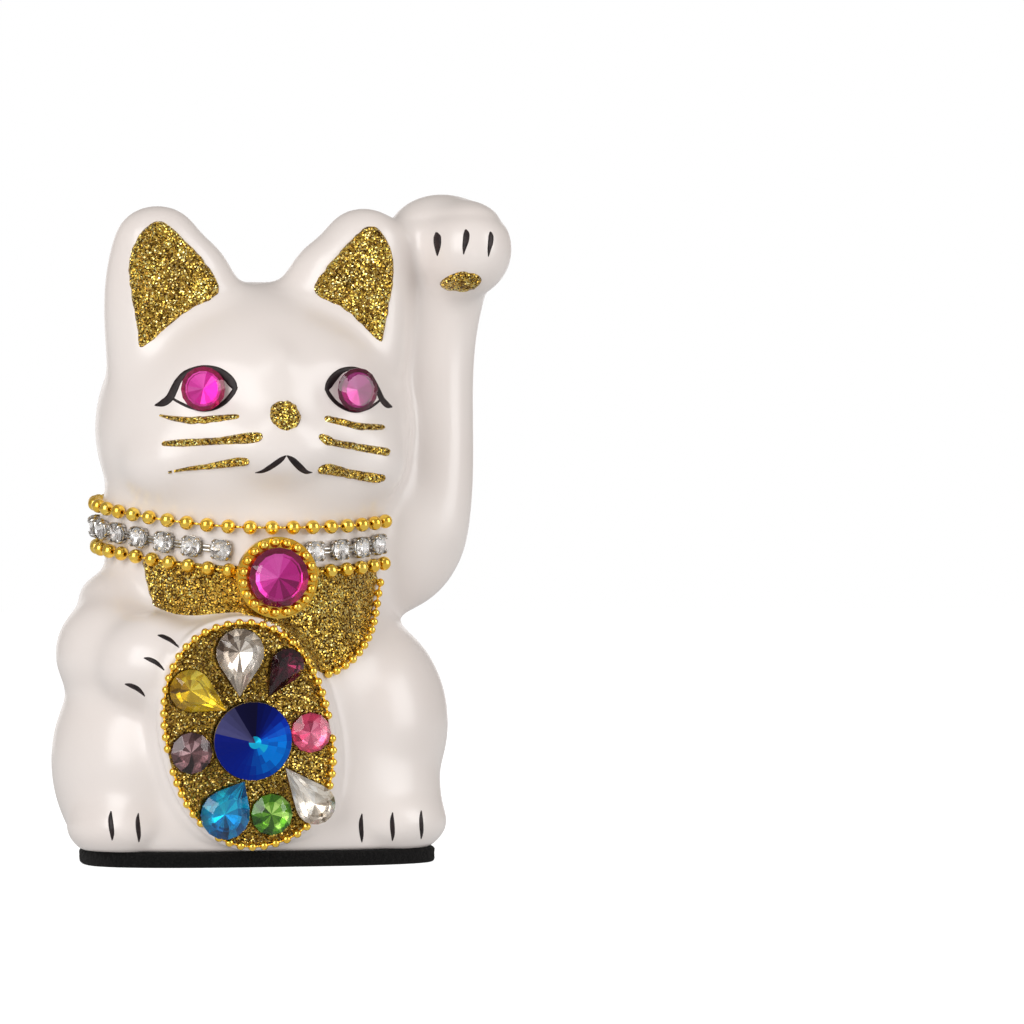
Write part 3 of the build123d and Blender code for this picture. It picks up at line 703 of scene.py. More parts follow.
def add_layer(builder, outline, seat, thick, edge, pitch, lump=0.0, grain=900.0, jitter=0.0, lip=-0.02 * MM,
              shape=None):
    """Closed pillow-edged layer over a flat outline. seat(u, v) gives the point and normal that it lies on,
    lip is the height of its rim, and shape(points, rise) may change its heights."""
    outline = resample(np.asarray(outline), pitch)
    if jitter:
        middle = outline.mean(axis=0)
        for i, (u, v) in enumerate(outline):
            push = jitter * noise.noise(Vector((u, v, 0.3)) * 700)
            away = outline[i] - middle
            outline[i] += push * away / np.linalg.norm(away)
    inner = hex_grid(outline, pitch)
    inner = inner[inside(inner, outline)]
    inner = inner[outline_distance(inner, outline) > 0.55 * pitch]
    flat = [Vector(p) for p in np.vstack([outline, inner])]
    ring = list(range(len(outline)))
    flat, _, faces, _, _, _ = delaunay_2d_cdt(flat, [], [ring], 1, 1e-7)
    flat = np.array([p[:] for p in flat])
    gap = outline_distance(flat, outline)
    share = np.minimum(gap / edge, 1.0)
    rise = thick * np.sqrt(1 - (1 - share) ** 2)
    if lump:
        bumps = [noise.fractal(Vector((u, v, 0.7)) * grain, 1.0, 2.0, 3) for u, v in flat]
        rise += share * lump * np.array(bumps)
    if shape:
        rise = shape(flat, rise)
    rise = np.where(gap > 1e-6, np.maximum(rise, lip), lip)
    top, bottom = [], []
    for (u, v), height in zip(flat, rise):
        point, normal = seat(u, v)
        top.append(point + normal * height)
        bottom.append(point - normal * LAYER_SINK)
    count = len(top)
    used = dict.fromkeys((a, b) for face in faces for a, b in zip(face, face[1:] + face[:1]))
    walls = [[b, a, a + count, b + count] for a, b in used if (b, a) not in used]
    under = [[i + count for i in face[::-1]] for face in faces]
    builder.add(top + bottom, [list(f) for f in faces] + under + walls)


def curve_through(points, steps=6):
    """Catmull-Rom curve through points of any width, with `steps` points to each span."""
    rows = [np.array(p, dtype=float) for p in points]
    rows = [2 * rows[0] - rows[1]] + rows + [2 * rows[-1] - rows[-2]]
    out = []
    for a, b, c, d in zip(rows, rows[1:], rows[2:], rows[3:]):
        for k in range(steps):
            t = k / steps
            out.append(0.5 * (2 * b + (c - a) * t + (2 * a - 5 * b + 4 * c - d) * t ** 2
                              + (3 * b - a - 3 * c + d) * t ** 3))
    out.append(rows[-2])
    return np.array(out)


def stroke_outline(points):
    """Outline of a brush stroke: (x, z, half width) points, with rounded ends."""
    line = curve_through(points)
    line[:, 2] = np.maximum(line[:, 2], 0.05 * MM)
    way = np.gradient(line[:, :2], axis=0)
    way /= np.linalg.norm(way, axis=1)[:, None]
    side = np.column_stack([-way[:, 1], way[:, 0]])
    left = line[:, :2] + side * line[:, 2:]
    right = line[:, :2] - side * line[:, 2:]
    caps = []
    for i, sign in ((-1, 1), (0, -1)):
        middle, half = line[i, :2], line[i, 2]
        for k in range(1, 4):
            angle = math.pi * k / 4
            caps.append(middle + sign * half * (math.cos(angle) * side[i] + math.sin(angle) * way[i]))
    return np.vstack([left, caps[:3], right[::-1], caps[3:]])


def in_mm(points):
    return [tuple(value * MM for value in point) for point in points]


# ---------------------------------------------------------------- painted lines
# Strokes in mm, as offsets and half widths. For the eyes, x runs outward from the stone's middle.
UPPER_LID = [(8.9, -3.3, 0.2), (7.6, -2.9, 0.7), (6.3, -1.8, 0.75), (5.3, 0.2, 0.7), (4.4, 1.9, 0.6),
             (2.8, 3.5, 0.5), (0.0, 4.5, 0.4), (-2.8, 4.1, 0.55), (-4.7, 2.7, 0.85), (-5.9, 1.2, 0.85),
             (-6.5, 0.1, 0.5)]
LOWER_LID = [(-6.6, 0.3, 0.4), (-5.9, -1.0, 0.48), (-4.4, -2.7, 0.45), (-2.4, -3.9, 0.42), (0.0, -4.35, 0.35),
             (2.6, -3.75, 0.32), (4.5, -2.8, 0.28), (6.0, -1.8, 0.25)]
MOUTH_AT = (0.6, 84.9)
MOUTH = [
    [(-0.1, 0.0, 0.15), (-1.2, -0.9, 0.55), (-3.2, -2.4, 0.55), (-4.6, -3.2, 0.35), (-6.0, -3.5, 0.06)],
    [(0.15, 0.0, 0.15), (1.4, -0.9, 0.6), (3.2, -2.4, 0.66), (4.7, -3.3, 0.42), (6.1, -3.4, 0.06)],
]
UPRIGHT_CLAW = [(0.0, 2.4, 0.25), (0.05, 1.7, 0.55), (0.0, 0.5, 0.6), (0.0, -0.9, 0.42), (0.0, -2.4, 0.08)]
LEANING_CLAW = [(0.25, 2.5, 0.3), (0.3, 1.8, 0.6), (0.1, 0.4, 0.62), (-0.2, -1.0, 0.42), (-0.35, -2.5, 0.1)]
SIDE_CLAW = [(-1.9, 1.2, 0.12), (-0.9, 0.95, 0.42), (0.4, 0.3, 0.45), (1.4, -0.6, 0.28), (2.0, -1.3, 0.1)]
FOOT_CLAW = [(0.05, 3.0, 0.12), (-0.15, 1.6, 0.42), (-0.1, 0.0, 0.5), (0.1, -1.6, 0.4), (0.2, -2.9, 0.12)]
CLAWS = [                        # stroke, x, z
    (UPRIGHT_CLAW, 36.3, 129.4), (LEANING_CLAW, 41.3, 129.7), (LEANING_CLAW, 46.6, 129.3),
    (SIDE_CLAW, -23.2, 46.9), (SIDE_CLAW, -26.3, 42.3), (SIDE_CLAW, -29.7, 36.9),
    (FOOT_CLAW, -33.8, 8.8), (FOOT_CLAW, -28.4, 8.4),
    (FOOT_CLAW, 18.3, 7.8), (FOOT_CLAW, 24.8, 8.0), (FOOT_CLAW, 31.3, 8.2),
]


def make_paint(surface, mat):
    groups = {"eyeliner_left": [], "eyeliner_right": [], "mouth_line": [], "claw_lines": []}
    for name, side in (("left", 1), ("right", -1)):
        middle = box_middle(islands(f"eye_stone_{name}")[0]) / MM
        for lid in (UPPER_LID, LOWER_LID):
            stroke = [(middle.x + side * out, middle.z + up, half) for out, up, half in lid]
            groups[f"eyeliner_{name}"].append(stroke)
    for line in MOUTH:
        groups["mouth_line"].append([(MOUTH_AT[0] + dx, MOUTH_AT[1] + dz, half) for dx, dz, half in line])
    for stroke, x, z in CLAWS:
        groups["claw_lines"].append([(x + dx, z + dz, half) for dx, dz, half in stroke])
    for name, strokes in groups.items():
        builder = Builder()
        for stroke in strokes:
            outline = stroke_outline(in_mm(stroke))
            add_layer(builder, outline, surface.front, thick=0.06 * MM, edge=0.2 * MM, pitch=0.28 * MM,
                      lip=0.02 * MM)
        finish_piece(builder.build(name, mat), "glazed_porcelain")


# ---------------------------------------------------------------- glitter
# Each whisker line from the top: share of the way out, rise in mm, half width in mm.
WHISKER_FORMS = {
    "left": [
        [(0.0, 0.3, 0.7), (0.25, 0.0, 0.75), (0.6, -0.4, 0.75), (1.0, 0.0, 0.6)],
        [(0.0, 0.9, 0.75), (0.1, 0.4, 1.05), (0.2, 0.15, 0.75), (0.6, 0.0, 0.8), (1.0, -0.1, 0.9)],
        [(0.0, 0.2, 0.9), (0.15, 0.5, 1.15), (0.5, 0.1, 0.95), (0.85, -0.1, 1.0), (1.0, 0.1, 0.7)],
    ],
    "right": [
        [(0.0, 0.3, 0.5), (0.3, -0.2, 0.75), (0.6, -0.5, 0.75), (0.85, 0.0, 0.5), (1.0, 0.6, 0.25)],
        [(0.0, 0.2, 1.0), (0.12, 0.1, 1.15), (0.45, -0.1, 0.75), (0.8, 0.0, 0.8), (1.0, 0.1, 0.55)],
        [(0.0, 0.2, 0.85), (0.12, 0.3, 0.95), (0.4, 0.0, 0.7), (0.75, -0.2, 0.4), (1.0, -0.6, 0.25)],
    ],
}
PATCHES = {                      # node: thickness and height of the lumps, in mm
    "ear_glitter_left": (0.55, 0.25),
    "ear_glitter_right": (0.55, 0.25),
    "nose_glitter": (0.6, 0.12),
    "paw_pad_glitter": (0.6, 0.12),
    "bib_glitter": (0.55, 0.2),
}
BIB_EYE = (2 * MM, 57 * MM)      # a point that sees the whole of the bib's outline
BIB_TOP = 58 * MM
PENDANT_CLEAR = 9.3 * MM         # outline points this near the pendant's middle are its cut-out
BIB_RISE = 1.8 * MM              # how far the bib's top edge runs on behind the lower chain
BIB_SPREAD = 0.8 * MM            # how far the bib's glitter runs out to the fine chain
BED_SPREAD = 1.0 * MM            # how far the plaque's glitter runs out under its chain


def bib_outline():
    """The bib runs on to its chains, and the pendant's cut-out is left out."""
    pendant = box_middle(node_mesh("pendant_setting")[0])

    def keep(p):
        return math.hypot(p[0] - pendant.x, p[1] - pendant.z) > PENDANT_CLEAR

    outline = grow(wall_outline("bib_glitter", BIB_EYE, keep), BIB_SPREAD)
    high = outline[:, 1] > BIB_TOP
    outline[high, 1] += BIB_RISE * smooth_step(outline[high, 1], BIB_TOP, BIB_TOP + 2 * MM)
    return outline


def whisker_outline(points, form, side):
    """Brush stroke from the inner to the outer end of a whisker line."""
    order = np.argsort(side * points[:, 0])
    inner, outer = points[order[:6]].mean(axis=0), points[order[-6:]].mean(axis=0)
    stroke = []
    for share, rise, half in form:
        spot = inner + (outer - inner) * share
        stroke.append((spot[0], spot[2] + rise * MM, half * MM))
    return stroke_outline(stroke)


def make_glitter(surface, mat):
    for node, (thick, lump) in PATCHES.items():
        if node == "bib_glitter":
            outline = bib_outline()
        else:
            middle = box_middle(node_mesh(node)[0])
            outline = wall_outline(node, (middle.x, middle.z))
        builder = Builder()
        add_layer(builder, outline, surface.front, thick=thick * MM, edge=0.8 * MM, pitch=0.5 * MM,
                  lump=lump * MM, grain=500.0, jitter=0.3 * MM)
        finish_piece(builder.build(node + "_coat", mat), "gold_glitter", node)
    for name, side in (("left", 1), ("right", -1)):
        node = f"whisker_glitter_{name}"
        lines = sorted(islands(node), key=lambda points: -points[:, 2].mean())
        builder = Builder()
        for points, form in zip(lines, WHISKER_FORMS[name]):
            outline = whisker_outline(points, form, side)
            add_layer(builder, outline, surface.front, thick=0.7 * MM, edge=0.8 * MM, pitch=0.35 * MM,
                      lump=0.2 * MM, jitter=0.25 * MM)
        finish_piece(builder.build(node + "_coat", mat), "gold_glitter", node)


def plaque_frame():
    """Placement of the plaque's front plane: X across, Y up, Z out of it."""
    points, _ = node_mesh("plaque_glitter_bed")
    place = flat_frame(points)
    place.translation = place @ Vector((0, 0, seen_from(place, points)[:, 2].min()))
    return place


SOCKET_FLOOR = 0.12 * MM         # glitter left under a stone
SOCKET_EDGE = 0.5 * MM
HEAP = 0.45 * MM                 # extra height against a stone
HEAP_REACH = 0.8 * MM
BED_SECTORS = 90


def bed_outline(place):
    """The bed's outermost wall point in each of many sectors, moved out under the chain."""
    points, tris = node_mesh("plaque_glitter_bed")
    local = seen_from(place, points)
    flat = local[np.unique(tris[steep(local[tris], 2, WALL_SLOPE)]), :2]
    angles, reach = round_middle(flat)
    sectors = {}
    for i, angle in enumerate(angles):
        sector = int(angle / (2 * math.pi) * BED_SECTORS)
        if sector not in sectors or reach[i] > reach[sectors[sector]]:
            sectors[sector] = i
    outline = flat[list(sectors.values())]
    return grow(outline[np.argsort(round_middle(outline)[0])], BED_SPREAD)


def make_bed(place, mat):
    """The plaque's glitter, heaped a little where it holds the stones."""
    out = turned(place, (0, 0, 1))

    def seat(u, v):
        return place @ Vector((u, v, 0)), out

    hulls = []
    for node in SLOTS:
        flat = seen_from(place, node_mesh(node)[0])[:, :2]
        hulls.append(flat[convex_hull_2d([tuple(p) for p in flat])])

    def heaped(flat, rise):
        for hull in hulls:
            gap = outline_distance(flat, hull)
            under = inside(flat, hull)
            sunk = SOCKET_FLOOR + (rise - SOCKET_FLOOR) * np.maximum(0.0, 1 - gap / SOCKET_EDGE)
            rise = np.where(under, sunk, rise + HEAP * np.exp(-(gap / HEAP_REACH) ** 2))
        return rise

    builder = Builder()
    outline = bed_outline(place)
    add_layer(builder, outline, seat, thick=0.85 * MM, edge=1.5 * MM, pitch=0.4 * MM,
              lump=0.28 * MM, grain=420.0, shape=heaped)
    finish_piece(builder.build("plaque_glitter_coat", mat), "gold_glitter", "plaque_glitter_bed")


# ---------------------------------------------------------------- ball chains
CHAIN_SEAT = 0.97                # height of a ball's middle over the glaze, in radii
LINK_REACH = 0.2                 # how far a wire runs into a ball, in radii
LINK_X_WAY = (0.3, 0.2, 1)       # a way that no chain runs in, to turn the balls and wires by
BALL_SIDES = 18
FINE_BALL_SIDES = 14
WIRE_SIDES = 10


def ball_profile(radius, steps=12):
    """Hollow ball with a hole at each end for the link."""
    start = math.asin(0.30)
    dimple = [(0, 0.72), (0.24, 0.74), (0.24, 0.93)]
    rows = [(across * radius, -along * radius) for across, along in dimple]
    for k in range(steps + 1):
        angle = start + (math.pi - 2 * start) * k / steps
        rows.append((radius * math.sin(angle), -radius * math.cos(angle)))
    return rows + [(across * radius, along * radius) for across, along in dimple[::-1]]


def chain_way(seat, seats):
    """The way that a chain runs through one of its balls, from the balls beside it."""
    others = sorted((other - seat).length for other in seats if other is not seat)
    near = [other for other in seats if other is not seat and (other - seat).length <= others[1] + 1e-9]
    if (near[0] - seat).dot(near[1] - seat) > 0:
        return near[0] - seat
    return near[0] - near[1]


def make_chain(name, mat, surface=None, sides=BALL_SIDES):
    """Balls and wire links of one chain. On the glaze they are seated on it; elsewhere they stay in place."""
    beads, links = name + "_beads", name + "_links"
    solids = islands(beads)
    radius = (solids[0][:, 2].max() - solids[0][:, 2].min()) / 2
    centres = [box_middle(points) for points in solids]

    def seated(point):
        if surface is None:
            return Vector(point)
        spot, normal = surface.nearest(point)
        return spot + normal * radius * CHAIN_SEAT

    seats = [seated(c) for c in centres]
    balls, wires = Builder(), Builder()
    for seat in seats:
        place = frame_at(seat, chain_way(seat, seats), LINK_X_WAY)
        balls.lathe(place, ball_profile(radius), sides)
    finish_piece(balls.build(name + "_balls", mat), "gold_plate", beads)
    for points in islands(links):
        axis, _, thin = main_axes(points)
        along = along_axis(points, axis)
        middle = Vector(points.mean(axis=0))
        a = seated(middle + axis * along.min())
        b = seated(middle + axis * along.max())
        thick = along_axis(points, thin)
        wire = (thick.max() - thick.min()) / 2
        half = (b - a).length / 2 + LINK_REACH * radius
        profile = [(0, -half), (wire, -half), (wire, half), (0, half)]
        wires.lathe(frame_at((a + b) / 2, b - a, LINK_X_WAY), profile, WIRE_SIDES)
    finish_piece(wires.build(name + "_wires", mat), "gold_plate", links)


# ---------------------------------------------------------------- cut stones
def round_outline(radius, count):
    return [Vector((radius * math.cos(2 * math.pi * k / count), radius * math.sin(2 * math.pi * k / count)))
            for k in range(count)]


def pear_outline(length, width, steps=11):
    """Pear outline with its tip down, round the middle of its round end."""
    radius = width / 2
    tip = Vector((0, radius - length))
    opening = math.acos(radius / (length - radius))
    arc = []
    for k in range(steps + 1):
        angle = -math.pi / 2 + opening + (2 * math.pi - 2 * opening) * k / steps
        arc.append(Vector((radius * math.cos(angle), radius * math.sin(angle))))
    return [tip, (tip + arc[0]) / 2, *arc, (tip + arc[-1]) / 2]


POINT_STEPS = (0.86, 0.62, 0.36, 0.16)   # shares of the outline at which a pointed front changes its tone
CULET_RING = 0.62                # depth of the ring between the girdle and the stone's point, as a share


class Stone:
    """Closed cut stone round the girdle plane: glass in front, foil facets behind that carry a tone each, the
    stone's colour with painted light and shade in it.
    """

    def __init__(self, outline, place):
        self.outline = outline
        self.between = [(a + b) / 2 for a, b in zip(outline, outline[1:] + outline[:1])]
        self.place = place
        self.verts, self.faces, self.tones = [], [], []

    def ring(self, line, share, z):
        start = len(self.verts)
        self.verts += [self.place @ Vector((p.x * share, p.y * share, z)) for p in line]
        return list(range(start, len(self.verts)))

    def spot(self, z):
        self.verts.append(self.place @ Vector((0, 0, z)))
        return len(self.verts) - 1

    def face(self, corners, tone=None, *where):
        """A facet of glass or, with a tone, of foil; where is what the tone is worked out from."""
        self.faces.append(corners)
        self.tones.append(tone(*where) if tone else None)

    def band(self, low, high, tone=None):
        """Triangles between a ring and the ring of its side middles."""
        count = len(low)
        for i in range(count):
            after = (i + 1) % count
            corner, side = self.outline[i], self.between[i]
            self.face([low[i], low[after], high[i]], tone, math.atan2(side.y, side.x), 0, i)
            self.face([low[i], high[i], high[i - 1]], tone, math.atan2(corner.y, corner.x), 1, i)

    def fan(self, ring, apex, tone, layer, line):
        """Facets from a ring, whose flat outline is the line, to one point."""
        count = len(ring)
        for i in range(count):
            middle = line[i] + line[(i + 1) % count]
            self.face([ring[i], ring[(i + 1) % count], apex], tone, math.atan2(middle.y, middle.x), layer, i)

    def point(self, high, girdle, crown, tone):
        """Front that rises straight to one point, in steps that carry a tone of their own."""
        count = len(high)
        rows = [high]
        for share in POINT_STEPS:
            rows.append(self.ring(self.outline, share, girdle + (crown - girdle) * (1 - share)))
        for layer, (low, up) in enumerate(zip(rows, rows[1:])):
            for i in range(count):
                after = (i + 1) % count
                middle = self.outline[i] + self.outline[after]
                angle = math.atan2(middle.y, middle.x)
                self.face([low[i], low[after], up[after], up[i]], tone, angle, layer, i)
        self.fan(rows[-1], self.spot(crown), tone, len(POINT_STEPS), self.outline)

    def cut(self, crown, table, girdle, deep, tone, waist=0.55):
        """Crown, girdle and back. Without a table the front rises to a point."""
        low = self.ring(self.outline, 1.0, -girdle)
        high = self.ring(self.outline, 1.0, girdle)
        for i in range(len(low)):
            after = (i + 1) % len(low)
            self.face([low[i], low[after], high[after], high[i]])
        if table:
            top = self.ring(self.between, table, crown)
            self.band(high, top)
            self.face(top)
        else:
            self.point(high, girdle, crown, tone)
        back = self.ring(self.between, waist, -deep * CULET_RING)
        self.band(low, back, tone)
        self.fan(back, self.spot(-deep), tone, 2, self.between)


def build_stones(name, stones, glass, foil):
    """One object out of Stone shapes, with each foil facet's tone in the colour attribute `facet`."""
    builder = Builder()
    tones = []
    for stone in stones:
        builder.add(stone.verts, stone.faces)
        tones += stone.tones
    obj = new_object(name, builder.verts, builder.faces, [glass, foil], smooth=False)
    mesh = obj.data
    layer = mesh.color_attributes.new("facet", "FLOAT_COLOR", "CORNER")
    for poly, tone in zip(mesh.polygons, tones):
        poly.material_index = 0 if tone is None else 1
        for loop in poly.loop_indices:
            layer.data[loop].color = (*(tone or (1, 1, 1)), 1)
    turn_outward(obj)
    return obj


def blend_tones(palette, share):
    share = min(max(share, 0.0), 0.9999) * (len(palette) - 1)
    i = int(share)
    part = share - i
    return tuple(a * (1 - part) + b * part for a, b in zip(palette[i], palette[i + 1]))


def facet_tones(palette, painted_light_way, swing, seed):
    """Tone of a foil facet, with painted light and shade in it: lighter towards one direction as a painted
    highlight, painted light and dark alternating round the stone, with some chance.
    """
    chance = np.random.default_rng(seed).uniform(-1, 1, 400)

    def tone(angle, layer, index):
        # lean lifts the tone as a painted highlight towards the light's way; flip is painted light and dark
        # alternating between facets
        lean = 0.5 + 0.28 * math.cos(angle - math.radians(painted_light_way))
        flip = swing * (1 if (index + layer) % 2 else -1)
        return blend_tones(palette, lean + flip + 0.22 * chance[layer * 100 + index])

    return tone


def rivoli_tones():
    """Blue foil of the coated stone: its own blues, with a painted highlight that fans out from the point
    towards the lower right and painted shade in the upper left. Angles are in degrees.
    """
    cyan, azure, royal = (0.01, 0.60, 1.0), (0.0, 0.26, 1.0), (0.0, 0.018, 0.38)
    navy, slate, night = (0.004, 0.006, 0.10), (0.06, 0.06, 0.17), (0.008, 0.008, 0.06)
    painted_highlight_way, painted_highlight_width, painted_lit_side_way = 325, 38.0, 290
    painted_highlight_share = (0.35, 0.8, 1.0, 1.0)
    chance = np.random.default_rng(8).uniform(0.35, 1.15, 160)

    def tone(angle, layer, index):
        turn = math.degrees(angle) % 360
        off = min(abs(turn - painted_highlight_way), 360 - abs(turn - painted_highlight_way))
        # The point is painted cyan as a highlight and slate as shade on its far side; between 80 and 172
        # degrees the facets are painted shade.
        if layer == len(POINT_STEPS):
            return cyan if off < 140 else slate
        if 125 < turn < 172:
            return slate
        if 80 < turn <= 125:
            return night
        # glow is the painted highlight's share in the fan; base is painted lighter, from navy to royal,
        # towards the lower side.
        glow = chance[layer * 40 + index] * math.exp(-(off / painted_highlight_width) ** 2) * painted_highlight_share[layer]
        base = blend_tones((navy, royal), 0.55 + 0.45 * math.cos(math.radians(turn - painted_lit_side_way)))
        return blend_tones((base, azure, cyan) if layer == 3 else (base, azure, azure), glow)

    return tone


STONE_LOOKS = {                  # glass tint; foil palette from dark to bright, the stone's colour with painted light and shade; way of the painted light in degrees; swing, the painted light and dark that alternates between facets
    "pear_clear_top": (
        (1.0, 0.97, 0.93),
        [(0.10, 0.06, 0.035), (0.50, 0.44, 0.38), (0.80, 0.75, 0.68), (1, 0.98, 0.95)], -20, 0.14,
    ),
    "pear_clear_lower": (
        (1.0, 0.97, 0.92),
        [(0.2, 0.14, 0.08), (0.68, 0.62, 0.54), (0.92, 0.88, 0.82), (1, 1, 1)], -60, 0.12,
    ),
    "pear_purple": (
        (0.5, 0.25, 0.32),
        [(0.01, 0.001, 0.004), (0.04, 0.005, 0.014), (0.10, 0.012, 0.035), (0.4, 0.06, 0.16)], 20, 0.10,
    ),
    "pear_yellow": (
        (1.0, 0.93, 0.5),
        [(0.16, 0.09, 0.0), (0.55, 0.36, 0.012), (0.85, 0.64, 0.05), (1.0, 0.88, 0.2)], -40, 0.12,
    ),
    "pear_teal": (
        (0.12, 0.82, 1.0),
        [(0.0, 0.03, 0.08), (0.0, 0.18, 0.38), (0.0, 0.42, 0.68), (0.05, 0.95, 1.0)], -30, 0.10,
    ),
    "round_amethyst": (
        (0.92, 0.78, 0.78),
        [(0.02, 0.008, 0.01), (0.15, 0.08, 0.085), (0.38, 0.23, 0.25), (0.85, 0.66, 0.68)], 120, 0.20,
    ),
    "round_pink": (
        (1.0, 0.76, 0.82),
        [(0.28, 0.02, 0.07), (0.66, 0.10, 0.22), (0.88, 0.24, 0.40), (1.0, 0.5, 0.62)], -20, 0.14,
    ),
    "round_green": (
        (0.82, 1.0, 0.55),
        [(0.015, 0.06, 0.0), (0.10, 0.27, 0.02), (0.27, 0.55, 0.07), (0.75, 0.98, 0.4)], 40, 0.20,
    ),
}
SLOTS = {
    "pear_clear_top": "clear_glass", "pear_clear_lower": "clear_glass", "pear_purple": "purple_glass",
    "pear_yellow": "yellow_glass", "pear_teal": "teal_glass", "round_amethyst": "amethyst_glass",
    "round_pink": "pink_glass", "round_green": "green_glass", "rivoli_blue": "blue_glass",
}


def pear_stone(place, local):
    """Pear-shaped stone over the points of a CAD stone, and the sizes that it is cut to."""
    flat, top = local[:, :2], local[:, 2].max()
    away = flat - flat.mean(axis=0)
    tip = flat[np.argmax(np.linalg.norm(away, axis=1))]
    axis = tip - flat.mean(axis=0)
    axis /= np.linalg.norm(axis)
    width = np.ptp(flat @ np.array([axis[1], -axis[0]]))
    length = np.ptp(flat @ axis)
    focus = tip - axis * (length - width / 2)
    crown = 0.15 * length
    spot = place @ Vector((focus[0], focus[1], top - crown))
    out = turned(place, (0, 0, 1))
    up = turned(place, (-axis[0], -axis[1], 0))
    return Stone(pear_outline(length, width), frame_at(spot, out, up.cross(out))), (
        crown, 0.60, 0.02 * length, 0.16 * length)


def round_stone(place, local, sides, crown, table):
    """Round stone over the points of a CAD stone, and its sizes. Its crown's height is given in radii."""
    low, high = local.min(axis=0), local.max(axis=0)
    middle = (low + high) / 2
    radius = (high[0] - low[0]) / 2
    crown *= radius
    spot = place @ Vector((middle[0], middle[1], high[2] - crown))
    matrix = frame_at(spot, turned(place, (0, 0, 1)), turned(place, (1, 0, 0)))
    return Stone(round_outline(radius, sides), matrix), (crown, table, 0.04 * radius, 0.28 * radius)


def make_plaque_stones(place, foil):
    for seed, node in enumerate(SLOTS):
        local = seen_from(place, node_mesh(node)[0])
        if node.startswith("pear"):
            stone, sizes = pear_stone(place, local)
        elif node == "rivoli_blue":
            stone, sizes = round_stone(place, local, sides=30, crown=0.36, table=0)
        else:
            stone, sizes = round_stone(place, local, sides=12, crown=0.28, table=0.55)
        if node == "rivoli_blue":
            tone = rivoli_tones()
            front = behind = coated_foil()
        else:
            # way is where the painted light on this stone's foil facets comes from
            tint, palette, way, swing = STONE_LOOKS[node]
            tone = facet_tones(palette, way, swing, 11 + seed)
            front, behind = glass_material(node + "_front", tint), foil
        stone.cut(*sizes, tone)
        finish_piece(build_stones(node + "_cut", [stone], front, behind), SLOTS[node], node)


FUCHSIA = [(0.30, 0.008, 0.13), (0.58, 0.02, 0.28), (0.78, 0.07, 0.44), (0.92, 0.22, 0.62)]
FUCHSIA_RIM_PAINTED_SHADE = (0.42, 0.28, 0.24)     # painted shade: the share of the tone left in the facets round the table, deeper and redder
FUCHSIA_GLASS = (1.0, 0.78, 0.97)
FUCHSIA_SIDES = 16
FUCHSIA_TABLE = 0.72             # table, and ring of the back, as a share of the girdle
FUCHSIA_STONES = {               # node: name of the piece, brightness of its foil, a painted light that makes one eye's stone lighter than the other's
    "eye_stone_left": ("eye_left", 0.5),
    "eye_stone_right": ("eye_right", 1.1),
    "pendant_stone": ("pendant_fuchsia", 0.85),
}


def make_fuchsia_stones(foil):
    """The two eyes and the pendant: flat-backed round stones with a broad table."""
    for seed, (node, (name, bright)) in enumerate(FUCHSIA_STONES.items()):
        points, _ = node_mesh(node)
        place = flat_frame(points)
        local = seen_from(place, points)
        middle = (local.min(axis=0) + local.max(axis=0)) / 2
        radius = np.ptp(local[:, 0]) / 2
        crown = 0.27 * radius
        place.translation = place @ Vector((middle[0], middle[1], local[:, 2].max() - crown))
        stone = Stone(round_outline(radius, FUCHSIA_SIDES), place)
        tone = facet_tones(FUCHSIA, 150, 0.04, 31 + seed)

        # Each stone's foil tone, with painted shade on the ring round the table, scaled by its painted
        # brightness.
        def painted_rim_tone(angle, layer, index, tone=tone, bright=bright):
            shares = FUCHSIA_RIM_PAINTED_SHADE if layer < 2 else (1, 1, 1)
            return tuple(c * share * bright for c, share in zip(tone(angle, layer, index), shares))

        stone.cut(crown, FUCHSIA_TABLE, 0.03 * radius, 0.24 * radius, painted_rim_tone, FUCHSIA_TABLE)
        glass = glass_material(name + "_front", FUCHSIA_GLASS)
        finish_piece(build_stones(name, [stone], glass, foil), "fuchsia_glass", node)


# ---------------------------------------------------------------- cup chain
CLAW = [                         # distance from the cup's axis, height and width, in mm, from the foot up
    (2.25, 0.15, 1.0), (2.42, 0.8, 0.95), (2.46, 1.5, 0.85), (2.30, 1.98, 0.75), (1.95, 2.22, 0.6),
    (1.6, 2.3, 0.35),
]
CLAW_THICK = 0.26 * MM
# The cup's section in mm: distance from its axis, and height.
CUP = [(0, 0), (1.9, 0), (2.15, 0.35), (2.28, 1.25), (2.12, 1.3), (2.05, 0.5), (0, 0.35)]
CUP_SIDES = 20
CUP_LIFT = 0.1 * MM              # of a cup over the glaze
CHATON_SIDES = 12
CHATON_RADIUS = 2.08 * MM
CHATON_HEIGHT = 1.5 * MM         # of the girdle over the cup's underside
CHATON_CUT = (0.66 * MM, 0.55, 0.05 * MM, 1.0 * MM)
# Foil tones of the clear chatons, dark to bright: painted reflection, not the stones' own colour.
CHATON_TONES = [(0.3, 0.27, 0.25), (0.85, 0.83, 0.81), (1, 0.99, 0.98), (1, 1, 1)]
STRIP_OFFSET = 0.42 * MM         # of the two strips between the cups, each side of the middle
STRIP_HEIGHT = 0.85 * MM
STRIP_REACH = 0.25 * MM          # how far a strip runs in under a cup
STRIP_THICK = 0.28 * MM
STRIP_WIDTH = 0.66 * MM


def claw(builder, place, angle):
    """One claw, rising beside the cup and bent over the stone."""
    outward = Vector((math.cos(angle), math.sin(angle), 0))
    across = turned(place, (-math.sin(angle), math.cos(angle), 0))
    spine = [place @ (outward * reach * MM + Vector((0, 0, height * MM))) for reach, height, _ in CLAW]
    builder.strip(spine, [across] * len(CLAW), CLAW_THICK, [width * MM for _, _, width in CLAW])


